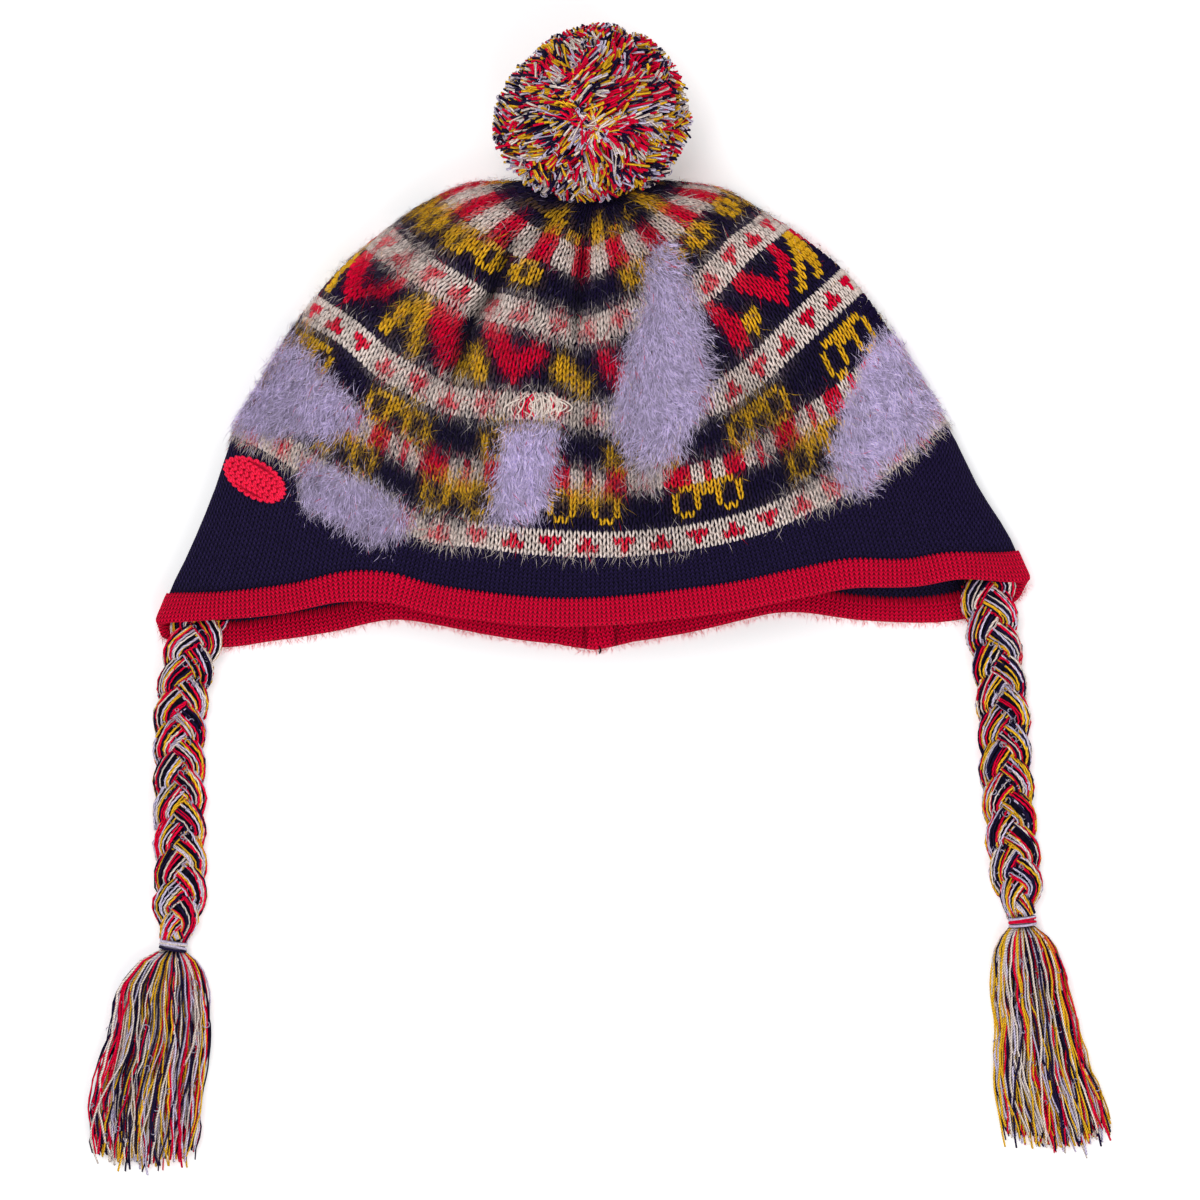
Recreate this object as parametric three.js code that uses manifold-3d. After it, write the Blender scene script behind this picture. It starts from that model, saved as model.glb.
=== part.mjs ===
// A fair isle knit cap with ear flaps, a pompom and two plaited ties with tassels, lying on its
// back. Millimetres, +Z up, +Y from the open mouth to the pompom. The origin is on the ground
// under the middle of the cap. The lower layer of the cap lies flat and the upper one is domed.
import * as THREE from 'three';
import { mergeVertices } from 'three/addons/utils/BufferGeometryUtils.js';
import Module from 'manifold-3d';

const wasm = await Module();
wasm.setup();

const gap = 0.3; // space left between neighbouring pieces
const rad = Math.PI / 180;

// The knitted body. Reach is the distance from the gathered top, measured in the plan.
const wall = 2.4; // thickness of the crown and the ribbed band
const gather = new THREE.Vector3(0, 57, 24); // where the crown is drawn together
const domeTop = 51; // height of the upper layer where the dome is fullest
const mouthTop = 43; // height of the upper layer at the mouth
const domeReach = 62; // reach at which the dome is full
const floorReach = 36; // reach at which the lower layer comes down to the ground
const mouthReach = 165;
const foldHeight = 8.5; // height of the two side folds
const crownEdge = { middle: 137.6, rise: 23.4 }; // reach of the crown's lower edge, and its rise
const hole = 2.5; // reach of the small hole left inside the gather
const pleats = { count: 9, depth: 1.6, reach: 26 };

// The doubled border round the mouth.
const border = { wall: 3.4, height: 9, round: 0.9, gap: 0.9 };
const seamPeak = { height: 2, width: 0.09 }; // small point where the border is joined

// Columns of the knitted body: more on the upper layer, fewer on the flat lower one.
const columns = { upper: 44, lower: 16, crowding: 0.13 };

// Half angle of the flat outline, in degrees, at each reach on the left and the right.
const outline = [
  { reach: 0, left: 90, right: 88 },
  { reach: 43, left: 90.4, right: 86.6 },
  { reach: 60, left: 84.1, right: 80.7 },
  { reach: 80, left: 77.1, right: 75.5 },
  { reach: 100, left: 71.6, right: 70.7 },
  { reach: 120, left: 65.7, right: 64.8 },
  { reach: 140, left: 60.2, right: 59.2 },
  { reach: 160, left: 55.7, right: 55.2 },
  { reach: 180, left: 51, right: 51.5 },
  { reach: 200, left: 47.9, right: 49.5 },
  { reach: 217, left: 46.1, right: 47.5 },
  { reach: 232, left: 44.5, right: 46.1 },
];

// Reach of the mouth's edge on the upper and lower layer, from the left fold to the right one.
const mouth = [
  { across: -1, upper: 229.5, lower: 229.5 },
  { across: -0.98, upper: 226.5, lower: 232 },
  { across: -0.85, upper: 209.5, lower: 220.3 },
  { across: -0.74, upper: 196, lower: 206 },
  { across: -0.62, upper: 181.5, lower: 192 },
  { across: -0.5, upper: 172.8, lower: 179 },
  { across: -0.4, upper: 170.3, lower: 174 },
  { across: -0.25, upper: 166.5, lower: 171.5 },
  { across: 0, upper: 163.5, lower: 170.5 },
  { across: 0.2, upper: 163.7, lower: 169.6 },
  { across: 0.4, upper: 167.8, lower: 171.2 },
  { across: 0.5, upper: 171, lower: 176.5 },
  { across: 0.63, upper: 177.6, lower: 190 },
  { across: 0.77, upper: 190.9, lower: 205 },
  { across: 0.86, upper: 199, lower: 213 },
  { across: 0.96, upper: 212.5, lower: 219.5 },
  { across: 1, upper: 217.5, lower: 217.5 },
];

// Soft valleys in the upper layer, from one point of the plan to another.
const creases = [
  { fromX: -3, fromY: 44, toX: -8, toY: -4, depth: 4.5, width: 8 },
  { fromX: 33, fromY: 28, toX: 44, toY: 14, depth: 3.5, width: 7 },
  { fromX: 44, fromY: 14, toX: 61, toY: -14, depth: 4, width: 8 },
  { fromX: -38, fromY: 18, toX: -61, toY: -14, depth: 3, width: 10 },
  { fromX: 88, fromY: -2, toX: 112, toY: -30, depth: 2.5, width: 10 },
];

// Patches of long lilac pile on the upper layer, as rows across the wales. Across is -1 at the
// left fold and 1 at the right one, and runs past them on to the lower layer.
const pile = { depth: 4.2, edge: 0.9, columns: 6 };
const pilePatches = {
  pile_left: [
    { reach: 111, from: -1, to: -0.93 },
    { reach: 115.5, from: -1.004, to: -0.66 },
    { reach: 122, from: -1.006, to: -0.62 },
    { reach: 130, from: -1.006, to: -0.68 },
    { reach: 138, from: -1.006, to: -0.79 },
    { reach: 145, from: -1.005, to: -0.58 },
    { reach: 151, from: -1.003, to: -0.5 },
    { reach: 156, from: -0.95, to: -0.51 },
    { reach: 160, from: -0.8, to: -0.6 },
  ],
  pile_wedge: [
    { reach: 27, from: 0.44, to: 0.56 },
    { reach: 36, from: 0.36, to: 0.61 },
    { reach: 47, from: 0.24, to: 0.55 },
    { reach: 60, from: 0.1, to: 0.485 },
    { reach: 75, from: 0.05, to: 0.437 },
    { reach: 86, from: 0.045, to: 0.4 },
    { reach: 93, from: 0.055, to: 0.35 },
    { reach: 98, from: 0.08, to: 0.27 },
    { reach: 104, from: 0.12, to: 0.2 },
  ],
  pile_spot: [
    { reach: 90, from: -0.26, to: -0.11 },
    { reach: 99, from: -0.305, to: -0.09 },
    { reach: 110, from: -0.31, to: -0.085 },
    { reach: 121, from: -0.29, to: -0.085 },
    { reach: 130, from: -0.24, to: -0.11 },
  ],
  pile_right: [
    { reach: 111, from: 0.88, to: 1 },
    { reach: 117, from: 0.77, to: 1.005 },
    { reach: 126, from: 0.68, to: 1.006 },
    { reach: 136, from: 0.65, to: 1.006 },
    { reach: 143, from: 0.69, to: 1.005 },
    { reach: 147, from: 0.74, to: 0.99 },
    { reach: 151, from: 0.84, to: 0.95 },
  ],
};

// The small crocheted patch near the left fold.
const patch = { x: -126, y: -52.5, length: 24.5, width: 12.5, tilt: -30, depth: 1.8, scallops: 10 };

// The pompom: a core with blunt locks of cut yarn all round it.
const pompom = {
  centre: new THREE.Vector3(-0.4, 83, 34),
  size: new THREE.Vector3(37, 33.5, 36), // half sizes over the tips of the locks
  core: 0.85,
  locks: 42,
  lockWidth: 0.24,
  sides: 4,
};

// The two plaited ties. Each route is listed from inside the mouth to the knot.
const plait = { width: 18, height: 10.5, sides: 12, steps: 18 };
const tie = { length: 4.2, width: 11.5, height: 9, ridges: 3 };
const routes = {
  left: [
    [-145.6, -101, 10],
    [-147.5, -109, 9.5],
    [-149.6, -116.9, 8.6],
    [-151.5, -124.8, 7],
    [-152.8, -132.7, 5.7],
    [-153.6, -140.9, 5.4],
    [-153.9, -149.1, 5.4],
    [-153.9, -157.3, 5.4],
    [-153.9, -165.5, 5.4],
    [-153.9, -173.7, 5.4],
    [-153.8, -181.9, 5.4],
    [-153.7, -190.1, 5.4],
    [-153.4, -198.3, 5.4],
    [-153.8, -206.5, 5.4],
    [-154.8, -214.7, 5.4],
    [-156, -222.8, 5.4],
  ],
  right: [
    [144.6, -88.5, 10.6],
    [145.6, -96.8, 9.8],
    [146.7, -105.1, 8.4],
    [148, -113.2, 6.6],
    [149.3, -121.5, 5.5],
    [150.4, -129.8, 5.4],
    [151.2, -138.2, 5.4],
    [151.7, -146.7, 5.4],
    [151.9, -155.1, 5.4],
    [152.3, -163.5, 5.4],
    [153.1, -171.9, 5.4],
    [153.9, -180.3, 5.4],
    [154.8, -188.7, 5.4],
    [155.9, -197.1, 5.4],
    [157, -205.4, 5.4],
    [158, -213.8, 5.4],
  ],
};

// The tassels fan out on the ground. Each row is one layer of locks.
const tasselLayers = [
  { locks: 7, spread: 1, lift: 3.5, reach: 1 },
  { locks: 5, spread: 0.74, lift: 11, reach: 0.95 },
];
const lock = { sides: 5, steps: 3, girth: 4.8 };
const tassels = {
  left: { tipX: -166.5, tipY: -303.5, spread: 42, bulge: 5 },
  right: { tipX: 169.5, tipY: -295, spread: 40, bulge: 5 },
};

// Yarn colours.
const navy = 0x1c1834;
const red = 0xd70f37;
const cream = 0xd6cbbe;
const gold = 0xd0a014;
const lilac = 0xa8a0c8;
const mixedYarn = 0x8d6a80;

// Reads one column of a table at any value of its key column, along a smooth curve.
function readTable(table, key, column, value) {
  const last = table.length - 1;
  const at = THREE.MathUtils.clamp(value, table[0][key], table[last][key]);
  const found = table.findIndex((row) => row[key] > at);
  const i = found < 0 ? last - 1 : found - 1;
  const slope = (a, b) => (table[b][column] - table[a][column]) / (table[b][key] - table[a][key]);
  const width = table[i + 1][key] - table[i][key];
  const startSlope = slope(Math.max(i - 1, 0), i + 1) * width;
  const endSlope = slope(i, Math.min(i + 2, last)) * width;
  const u = (at - table[i][key]) / width;
  const start = (2 * u ** 3 - 3 * u ** 2 + 1) * table[i][column] + (u ** 3 - 2 * u ** 2 + u) * startSlope;
  const end = (3 * u ** 2 - 2 * u ** 3) * table[i + 1][column] + (u ** 3 - u ** 2) * endSlope;
  return start + end;
}

// Turn goes once round the cap: 0 at the right fold, 90 degrees in the middle of the upper layer,
// 180 at the left fold, then back under the lower layer. Across is its cosine.
function foldAngle(across, reach) {
  const share = THREE.MathUtils.smoothstep(across, -0.5, 0.5);
  const left = readTable(outline, 'reach', 'left', reach);
  const right = readTable(outline, 'reach', 'right', reach);
  return THREE.MathUtils.lerp(left, right, share) * rad;
}

function distanceToLine(x, y, line) {
  const alongX = line.toX - line.fromX;
  const alongY = line.toY - line.fromY;
  const share = ((x - line.fromX) * alongX + (y - line.fromY) * alongY) / (alongX ** 2 + alongY ** 2);
  const u = THREE.MathUtils.clamp(share, 0, 1);
  return Math.hypot(x - line.fromX - u * alongX, y - line.fromY - u * alongY);
}

// Height of the upper layer: it climbs from the gather and sinks a little towards the mouth.
function upperHeight(reach) {
  const climb = Math.sin((Math.PI / 2) * Math.min(1, reach / domeReach));
  const sink = Math.max(0, (reach - domeReach) / (mouthReach - domeReach));
  return gather.z + (domeTop - gather.z) * climb - (domeTop - mouthTop) * sink;
}

// Height of the lower layer: it drops from the gather to the ground.
function lowerHeight(reach) {
  const drop = Math.sin((Math.PI / 2) * Math.min(1, reach / floorReach));
  return gather.z + (wall / 2 - gather.z) * drop;
}

// Middle of the fabric at one place.
function fabricMiddle(reach, turn) {
  const across = Math.cos(turn);
  const angle = foldAngle(across, reach) * across;
  const x = gather.x + reach * Math.sin(angle);
  const y = gather.y - reach * Math.cos(angle);
  const rise = Math.abs(Math.sin(turn));
  const settle = Math.max(0, 1 - reach / domeReach) ** 2;
  const fold = foldHeight + (gather.z - foldHeight) * settle;
  if (Math.sin(turn) < 0) {
    const roll = 1 - 0.65 * THREE.MathUtils.smoothstep(reach, 0, 70);
    const down = 1 - (1 - Math.min(1, rise / roll)) ** 2;
    return new THREE.Vector3(x, y, fold + (lowerHeight(reach) - fold) * down);
  }
  const puff = 0.9 + 0.15 * THREE.MathUtils.smoothstep(reach, 60, 160);
  const valleys = creases.map((line) => line.depth * Math.exp(-((distanceToLine(x, y, line) / line.width) ** 2)));
  const valley = valleys.reduce((sum, depth) => sum + depth, 0);
  const z = fold + (upperHeight(reach) - fold) * rise ** puff - valley * rise;
  return new THREE.Vector3(x, y, z);
}

// A point at some distance outwards from the middle of the fabric, never below the ground.
function fabricPoint(reach, turn, outwards) {
  const step = 0.01;
  const alongReach = fabricMiddle(reach + step, turn).sub(fabricMiddle(reach - step, turn));
  const alongTurn = fabricMiddle(reach, turn + step).sub(fabricMiddle(reach, turn - step));
  const normal = alongTurn.cross(alongReach).normalize();
  const fade = Math.exp(-((reach / pleats.reach) ** 2)) * Math.min(1, reach / (2 * pleats.depth * pleats.count));
  const pleat = pleats.depth * Math.cos(pleats.count * turn) * fade;
  const point = fabricMiddle(reach, turn).addScaledVector(normal, outwards + pleat);
  point.z = Math.max(0, point.z);
  return point;
}

function crownReach(turn) {
  return crownEdge.middle + crownEdge.rise * Math.cos(turn) ** 2;
}

function mouthEdge(turn) {
  const across = Math.cos(turn);
  const layer = Math.sin(turn) < 0 ? 'lower' : 'upper';
  const peak = layer === 'lower' ? seamPeak.height * Math.max(0, 1 - Math.abs(across) / seamPeak.width) : 0;
  return readTable(mouth, 'across', layer, across) + peak;
}

// Turns of the columns, closer together in the middle of each layer than at the folds.
function columnTurns() {
  const turns = [];
  for (const [start, count] of [[0, columns.upper], [Math.PI, columns.lower]]) {
    for (let i = 0; i < count; i += 1) {
      const u = i / count;
      turns.push(start + Math.PI * u + columns.crowding * Math.sin(2 * Math.PI * u));
    }
  }
  return turns;
}

// A closed mesh from points and triangles, turned outwards if it comes out inside out.
function closedMesh(points, faces) {
  const corner = new THREE.Vector3();
  const volume = faces.reduce((sum, [a, b, c]) => sum + corner.copy(points[a]).cross(points[b]).dot(points[c]), 0);
  const index = faces.flatMap(([a, b, c]) => (volume < 0 ? [a, c, b] : [a, b, c]));
  const geometry = new THREE.BufferGeometry().setFromPoints(points);
  geometry.setIndex(index);
  return geometry;
}

// Joins each ring of points to the next one. A closed sweep runs on from the last ring to the
// first, and an open one is capped at both ends.
function sweptMesh(rings, closed) {
  const size = rings[0].length;
  const points = rings.flat();
  const faces = [];
  const spans = closed ? rings.length : rings.length - 1;
  for (let i = 0; i < spans; i += 1) {
    const here = i * size;
    const next = ((i + 1) % rings.length) * size;
    for (let j = 0; j < size; j += 1) {
      const k = (j + 1) % size;
      faces.push([here + j, here + k, next + k], [here + j, next + k, next + j]);
    }
  }
  if (!closed) {
    const lastRing = (rings.length - 1) * size;
    for (let j = 1; j < size - 1; j += 1) {
      faces.push([0, j + 1, j], [lastRing, lastRing + j, lastRing + j + 1]);
    }
  }
  return closedMesh(points, faces);
}

// A thick sheet between two grids of points with the same rows and columns.
function sheetMesh(top, bottom) {
  const rings = top.map((row, i) => [...row, ...bottom[i].toReversed()]);
  const width = top[0].length;
  const size = 2 * width;
  const faces = [];
  for (let i = 0; i < rings.length - 1; i += 1) {
    for (let j = 0; j < size; j += 1) {
      const a = i * size + j;
      const b = i * size + ((j + 1) % size);
      faces.push([a, b, b + size], [a, b + size, a + size]);
    }
  }
  const lastRow = (rings.length - 1) * size;
  for (let j = 0; j < width - 1; j += 1) {
    const under = size - 1 - j;
    faces.push([j, under, under - 1], [j, under - 1, j + 1]);
    faces.push([lastRow + j, lastRow + under - 1, lastRow + under], [lastRow + j, lastRow + j + 1, lastRow + under - 1]);
  }
  return closedMesh(rings.flat(), faces);
}

function toSolid(geometry) {
  const bare = geometry.clone();
  bare.deleteAttribute('normal');
  bare.deleteAttribute('uv');
  const merged = mergeVertices(bare, 1e-4);
  const vertProperties = new Float32Array(merged.getAttribute('position').array);
  const triVerts = new Uint32Array(merged.index.array);
  return new wasm.Manifold(new wasm.Mesh({ numProp: 3, vertProperties, triVerts }));
}

function toGeometry(solid, tolerance = 0.02) {
  const mesh = largestBody(solid).simplify(tolerance).getMesh();
  const geometry = new THREE.BufferGeometry();
  geometry.setAttribute('position', new THREE.BufferAttribute(mesh.vertProperties, 3));
  geometry.setIndex(new THREE.BufferAttribute(mesh.triVerts, 1));
  return geometry;
}

function joinAll(geometries) {
  return geometries.map(toSolid).reduce((whole, piece) => whole.add(piece));
}

// Drops the specks that a cut can leave beside the piece itself.
function largestBody(solid) {
  return solid.decompose().reduce((best, body) => (body.volume() > best.volume() ? body : best));
}

// A ring of fabric: a closed outline of reaches and distances from the middle of the fabric,
// carried once round the cap.
function fabricRing(section) {
  const rings = columnTurns().map((turn) =>
    section.map(({ reach, outwards }) => fabricPoint(reach(turn), turn, outwards)));
  return sweptMesh(rings, true);
}

// The wall of fabric between two edges, as a section with one corner for each row.
function wallSection(rows, outer, inner) {
  const outside = rows.map((reach) => ({ reach, outwards: outer }));
  const inside = rows.toReversed().map((reach) => ({ reach, outwards: inner }));
  return [...outside, ...inside];
}

const crownRows = [0.06, 0.12, 0.19, 0.27, 0.35, 0.43, 0.51, 0.59, 0.67, 0.75, 0.83, 0.91, 1];
const bandRows = [0, 0.34, 0.67, 1];

function crownRow(share) {
  return (turn) => share * crownReach(turn);
}

function bandRow(share, startGap, endGap) {
  return (turn) => {
    const start = crownReach(turn) + startGap;
    const end = mouthEdge(turn) - border.height - endGap;
    return start + share * (end - start);
  };
}

function crownGeometry() {
  const rows = crownRows.map(crownRow);
  const section = wallSection(rows, wall / 2, -wall / 2);
  return fabricRing([{ reach: () => hole, outwards: wall / 2 }, ...section]);
}

function bandGeometry() {
  const rows = bandRows.map((share) => bandRow(share, gap, border.gap));
  return fabricRing(wallSection(rows, wall / 2, -wall / 2));
}

function borderGeometry() {
  const half = border.wall / 2;
  const corner = border.round;
  const fromEdge = (distance) => (turn) => mouthEdge(turn) - distance;
  const section = [
    { reach: fromEdge(border.height), outwards: half - corner },
    { reach: fromEdge(border.height - corner), outwards: half },
    { reach: fromEdge(corner), outwards: half },
    { reach: fromEdge(0), outwards: half - corner },
    { reach: fromEdge(0), outwards: -half },
    { reach: fromEdge(border.height), outwards: -half },
  ];
  return fabricRing(section);
}

// The crown and band as one thicker wall, which keeps what lies on them at a small distance.
function fabricKeepOut() {
  const rows = [...crownRows.map(crownRow), ...bandRows.slice(1).map((share) => bandRow(share, 0, 0))];
  const first = { reach: () => hole, outwards: wall / 2 + gap };
  return toSolid(fabricRing([first, ...wallSection(rows, wall / 2 + gap, -wall)]));
}

// The space under the top of the crown, from which the pompom is kept out.
function crownTopKeepOut() {
  const rows = [hole, ...crownRows.slice(0, 6).map((share) => share * crownEdge.middle)];
  const rings = rows.map((reach) => columnTurns().map((turn) => fabricPoint(reach, turn, wall / 2 + gap)));
  return toSolid(sweptMesh(rings, false));
}

function turnAt(across) {
  if (Math.abs(across) <= 1) {
    return Math.acos(across);
  }
  const past = Math.acos(2 - Math.abs(across));
  return across > 0 ? -past : Math.PI + past;
}

// Pile stands in rough tufts, and is thinner at the edges of its patch.
function pileHeight(row, column, rows) {
  const edge = Math.min(row, rows - 1 - row, column, pile.columns - 1 - column);
  const tuft = 0.72 + 0.28 * Math.cos(2.4 * row) * Math.cos(2.9 * column + row);
  return edge === 0 ? pile.edge : pile.depth * tuft;
}

function pileGeometry(rows, keepOut) {
  const points = (outwards) => rows.map(({ reach, from, to }, i) =>
    Array.from({ length: pile.columns }, (_, j) => {
      const turn = turnAt(from + ((to - from) * j) / (pile.columns - 1));
      return fabricPoint(reach, turn, outwards(i, j));
    }));
  const top = points((i, j) => wall / 2 + gap + pileHeight(i, j, rows.length));
  const bottom = points(() => 0);
  return toGeometry(toSolid(sheetMesh(top, bottom)).subtract(keepOut));
}

// A point of the plan, set on the upper layer of the cap.
function pointOnCap(x, y, outwards) {
  const reach = Math.hypot(x - gather.x, y - gather.y);
  const angle = Math.atan2(x - gather.x, gather.y - y);
  const across = THREE.MathUtils.clamp(angle / foldAngle(Math.sign(angle), reach), -0.999, 0.999);
  return fabricPoint(reach, Math.acos(across), outwards);
}

function patchGeometry(keepOut) {
  const rim = 2 * patch.scallops;
  const ringPoints = (scale, outwards) => Array.from({ length: rim }, (_, i) => {
    const turn = (2 * Math.PI * i) / rim;
    const scallop = 1 + 0.05 * (i % 2 === 0 ? 1 : -1);
    const along = (patch.length / 2) * scale * scallop * Math.cos(turn);
    const aside = (patch.width / 2) * scale * scallop * Math.sin(turn);
    const tilt = patch.tilt * rad;
    const x = patch.x + along * Math.cos(tilt) - aside * Math.sin(tilt);
    const y = patch.y + along * Math.sin(tilt) + aside * Math.cos(tilt);
    return pointOnCap(x, y, outwards);
  });
  const top = wall / 2 + gap + patch.depth;
  const rings = [
    ringPoints(0.94, 0),
    ringPoints(1, wall / 2 + gap + 0.4 * patch.depth),
    ringPoints(0.9, top),
    ringPoints(0.4, top + 0.3),
  ];
  return toGeometry(toSolid(sweptMesh(rings, false)).subtract(keepOut));
}

// Rings of points round an axis, one for each distance and radius.
function ringsAlong(axis, distances, radii, sides, scale, centre) {
  const side = new THREE.Vector3(0, 0, 1).cross(axis).normalize();
  const up = axis.clone().cross(side).normalize();
  return distances.map((distance, i) => Array.from({ length: sides }, (_, j) => {
    const turn = (2 * Math.PI * j) / sides;
    const point = axis.clone().multiplyScalar(distance);
    point.addScaledVector(side, radii[i] * Math.cos(turn));
    point.addScaledVector(up, radii[i] * Math.sin(turn));
    return point.multiply(scale).add(centre);
  }));
}

// Blunt locks stand out evenly from the core, in the golden-angle order of a sunflower's seeds.
function pompomGeometry(ground, crownTop) {
  const goldenAngle = Math.PI * (3 - Math.sqrt(5));
  const pieces = [new THREE.IcosahedronGeometry(pompom.core, 1)];
  pieces[0].scale(...pompom.size);
  pieces[0].translate(...pompom.centre);
  for (let i = 0; i < pompom.locks; i += 1) {
    const height = 1 - (2 * i + 1) / pompom.locks;
    const around = Math.sqrt(1 - height * height);
    const turn = goldenAngle * i;
    const axis = new THREE.Vector3(around * Math.cos(turn), around * Math.sin(turn), height);
    const length = 0.96 + 0.04 * Math.cos(5 * i);
    const radii = [0.5, 1, 0.62].map((share) => share * pompom.lockWidth);
    const rings = ringsAlong(axis, [0.5, 0.88, 1].map((share) => share * length), radii, pompom.sides, pompom.size,
      pompom.centre);
    pieces.push(sweptMesh(rings, false));
  }
  return toGeometry(joinAll(pieces).subtract(ground).subtract(crownTop), 0.2);
}

function plaitCurve(side) {
  return new THREE.CatmullRomCurve3(routes[side].map((point) => new THREE.Vector3(...point)));
}

// The plait's plain form: a flattened tube along its route.
function plaitGeometry(side) {
  const section = new THREE.Shape();
  for (let i = 0; i < plait.sides; i += 1) {
    const turn = (2 * Math.PI * (i + 0.5)) / plait.sides;
    const across = (plait.width / 2) * Math.sin(turn);
    const up = (plait.height / 2) * Math.cos(turn);
    if (i === 0) {
      section.moveTo(up, across);
    } else {
      section.lineTo(up, across);
    }
  }
  section.closePath();
  return new THREE.ExtrudeGeometry(section, { steps: plait.steps, extrudePath: plaitCurve(side) });
}

// Thread wound round the end of the plait, as a short drum with a ridge for each turn.
function tieGeometry(start, axis) {
  const distances = [];
  const radii = [];
  for (let i = 0; i < tie.ridges; i += 1) {
    distances.push((i * tie.length) / tie.ridges, ((i + 0.5) * tie.length) / tie.ridges);
    radii.push(0.88, 1);
  }
  distances.push(tie.length);
  radii.push(0.88);
  const rings = distances.map((distance, i) => {
    const side = new THREE.Vector3(0, 0, 1).cross(axis).normalize();
    return Array.from({ length: plait.sides }, (_, j) => {
      const turn = (2 * Math.PI * j) / plait.sides;
      const point = start.clone().addScaledVector(axis, distance);
      point.addScaledVector(side, (radii[i] * tie.width * Math.cos(turn)) / 2);
      point.z += (radii[i] * tie.height * Math.sin(turn)) / 2;
      return point;
    });
  });
  return sweptMesh(rings, false);
}

// One lock of a tassel, from the head over a swelling to its blunt tip.
function lockGeometry(from, over, to) {
  const curve = new THREE.QuadraticBezierCurve3(from, over, to);
  const rings = Array.from({ length: lock.steps + 1 }, (_, i) => {
    const u = i / lock.steps;
    const along = curve.getTangent(u);
    const side = new THREE.Vector3(0, 0, 1).cross(along).normalize();
    const up = along.cross(side).normalize();
    const girth = lock.girth * (0.5 + 0.75 * Math.sin(Math.PI * Math.min(1, 0.12 + 0.8 * u)) - 0.3 * u);
    return Array.from({ length: lock.sides }, (_, j) => {
      const turn = (2 * Math.PI * j) / lock.sides;
      const point = curve.getPoint(u);
      return point.addScaledVector(side, girth * Math.cos(turn)).addScaledVector(up, girth * Math.sin(turn));
    });
  });
  return sweptMesh(rings, false);
}

function tasselGeometry(tassel, start, axis, ground) {
  const neck = start.clone().addScaledVector(axis, 5);
  const head = new THREE.SphereGeometry(1, 10, 6);
  head.scale(7, 6.4, 5);
  head.translate(neck.x, neck.y - 1.2, neck.z);
  const pieces = [head];
  for (const layer of tasselLayers) {
    for (let i = 0; i < layer.locks; i += 1) {
      const across = (2 * (i + 0.5)) / layer.locks - 1;
      const uneven = 3 * Math.cos(4 * i + layer.lift);
      const tipX = tassel.tipX + (across * layer.spread * tassel.spread) / 2;
      const drop = 5 * across ** 2;
      const tip = new THREE.Vector3(tipX, neck.y + (tassel.tipY - neck.y + drop + uneven) * layer.reach, 3);
      const over = neck.clone().lerp(tip, 0.5);
      over.x += across * layer.spread * tassel.bulge;
      over.z = layer.lift + 3;
      const root = neck.clone().add(new THREE.Vector3(across * 3.4, 0.5, (layer.lift - 6) / 3));
      pieces.push(lockGeometry(root, over, tip));
    }
  }
  const keepClear = toSolid(new THREE.BoxGeometry(60, 30, 60).translate(start.x, start.y + 15, 0));
  return toGeometry(joinAll(pieces).subtract(ground).subtract(keepClear), 0.15);
}

const cap = new THREE.Group();

function addPiece(name, geometry, colour, roughness) {
  const material = new THREE.MeshStandardMaterial({ color: colour, roughness, metalness: 0 });
  const piece = new THREE.Mesh(geometry, material);
  piece.name = name;
  cap.add(piece);
}

const groundBlock = toSolid(new THREE.BoxGeometry(800, 900, 100).translate(0, 0, -50));
const keepOut = fabricKeepOut();

addPiece('crown', crownGeometry(), navy, 0.95);
addPiece('ear_band', bandGeometry(), navy, 0.95);
addPiece('border', borderGeometry(), red, 0.9);
for (const [name, rows] of Object.entries(pilePatches)) {
  addPiece(name, pileGeometry(rows, keepOut), lilac, 1);
}
addPiece('crochet_patch', patchGeometry(keepOut), red, 0.9);
addPiece('pompom', pompomGeometry(groundBlock, crownTopKeepOut()), mixedYarn, 1);

for (const side of ['left', 'right']) {
  const curve = plaitCurve(side);
  const axis = curve.getTangent(1).setZ(0).normalize();
  const tieStart = curve.getPoint(1).addScaledVector(axis, gap);
  const tasselStart = tieStart.clone().addScaledVector(axis, tie.length + gap);
  addPiece(`braid_${side}`, plaitGeometry(side), side === 'left' ? cream : gold, 0.95);
  addPiece(`tie_${side}`, tieGeometry(tieStart, axis), side === 'left' ? lilac : red, 0.85);
  addPiece(`tassel_${side}`, tasselGeometry(tassels[side], tasselStart, axis, groundBlock), mixedYarn, 1);
}

export default cap;
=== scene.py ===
import math

import bpy
import numpy as np
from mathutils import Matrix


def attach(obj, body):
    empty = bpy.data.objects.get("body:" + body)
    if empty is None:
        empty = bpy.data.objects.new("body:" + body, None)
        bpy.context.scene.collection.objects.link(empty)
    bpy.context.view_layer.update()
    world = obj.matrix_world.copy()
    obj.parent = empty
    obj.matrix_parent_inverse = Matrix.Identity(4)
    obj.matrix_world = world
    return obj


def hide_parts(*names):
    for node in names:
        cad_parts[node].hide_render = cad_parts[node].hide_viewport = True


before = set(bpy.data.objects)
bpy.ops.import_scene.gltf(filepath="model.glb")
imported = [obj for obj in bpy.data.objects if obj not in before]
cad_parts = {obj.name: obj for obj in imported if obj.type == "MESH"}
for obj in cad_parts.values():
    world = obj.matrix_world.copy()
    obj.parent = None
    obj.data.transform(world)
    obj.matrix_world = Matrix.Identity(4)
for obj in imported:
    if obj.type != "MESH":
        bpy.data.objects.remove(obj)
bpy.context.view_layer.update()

# The dictionaries are in millimetres and degrees unless a note says otherwise. addPiece turns
# millimetres into metres.
mm = 0.001
upright = np.array([0, 0, 1.0])

yarnColours = {  # screen colours, from 0 to 255
    "navy": (32, 23, 59),
    "red": (238, 4, 60),
    "cream": (236, 220, 210),
    "ecru": (246, 230, 222),
    "gold": (246, 190, 40),
    "lilac": (218, 208, 236),
    # darkNavy is a dark thread, and also serves as painted shade behind the stitches and inside the pompom
    # and braids
    "darkNavy": (17, 14, 30),
    "paleGrey": (128, 118, 150),
}


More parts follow.
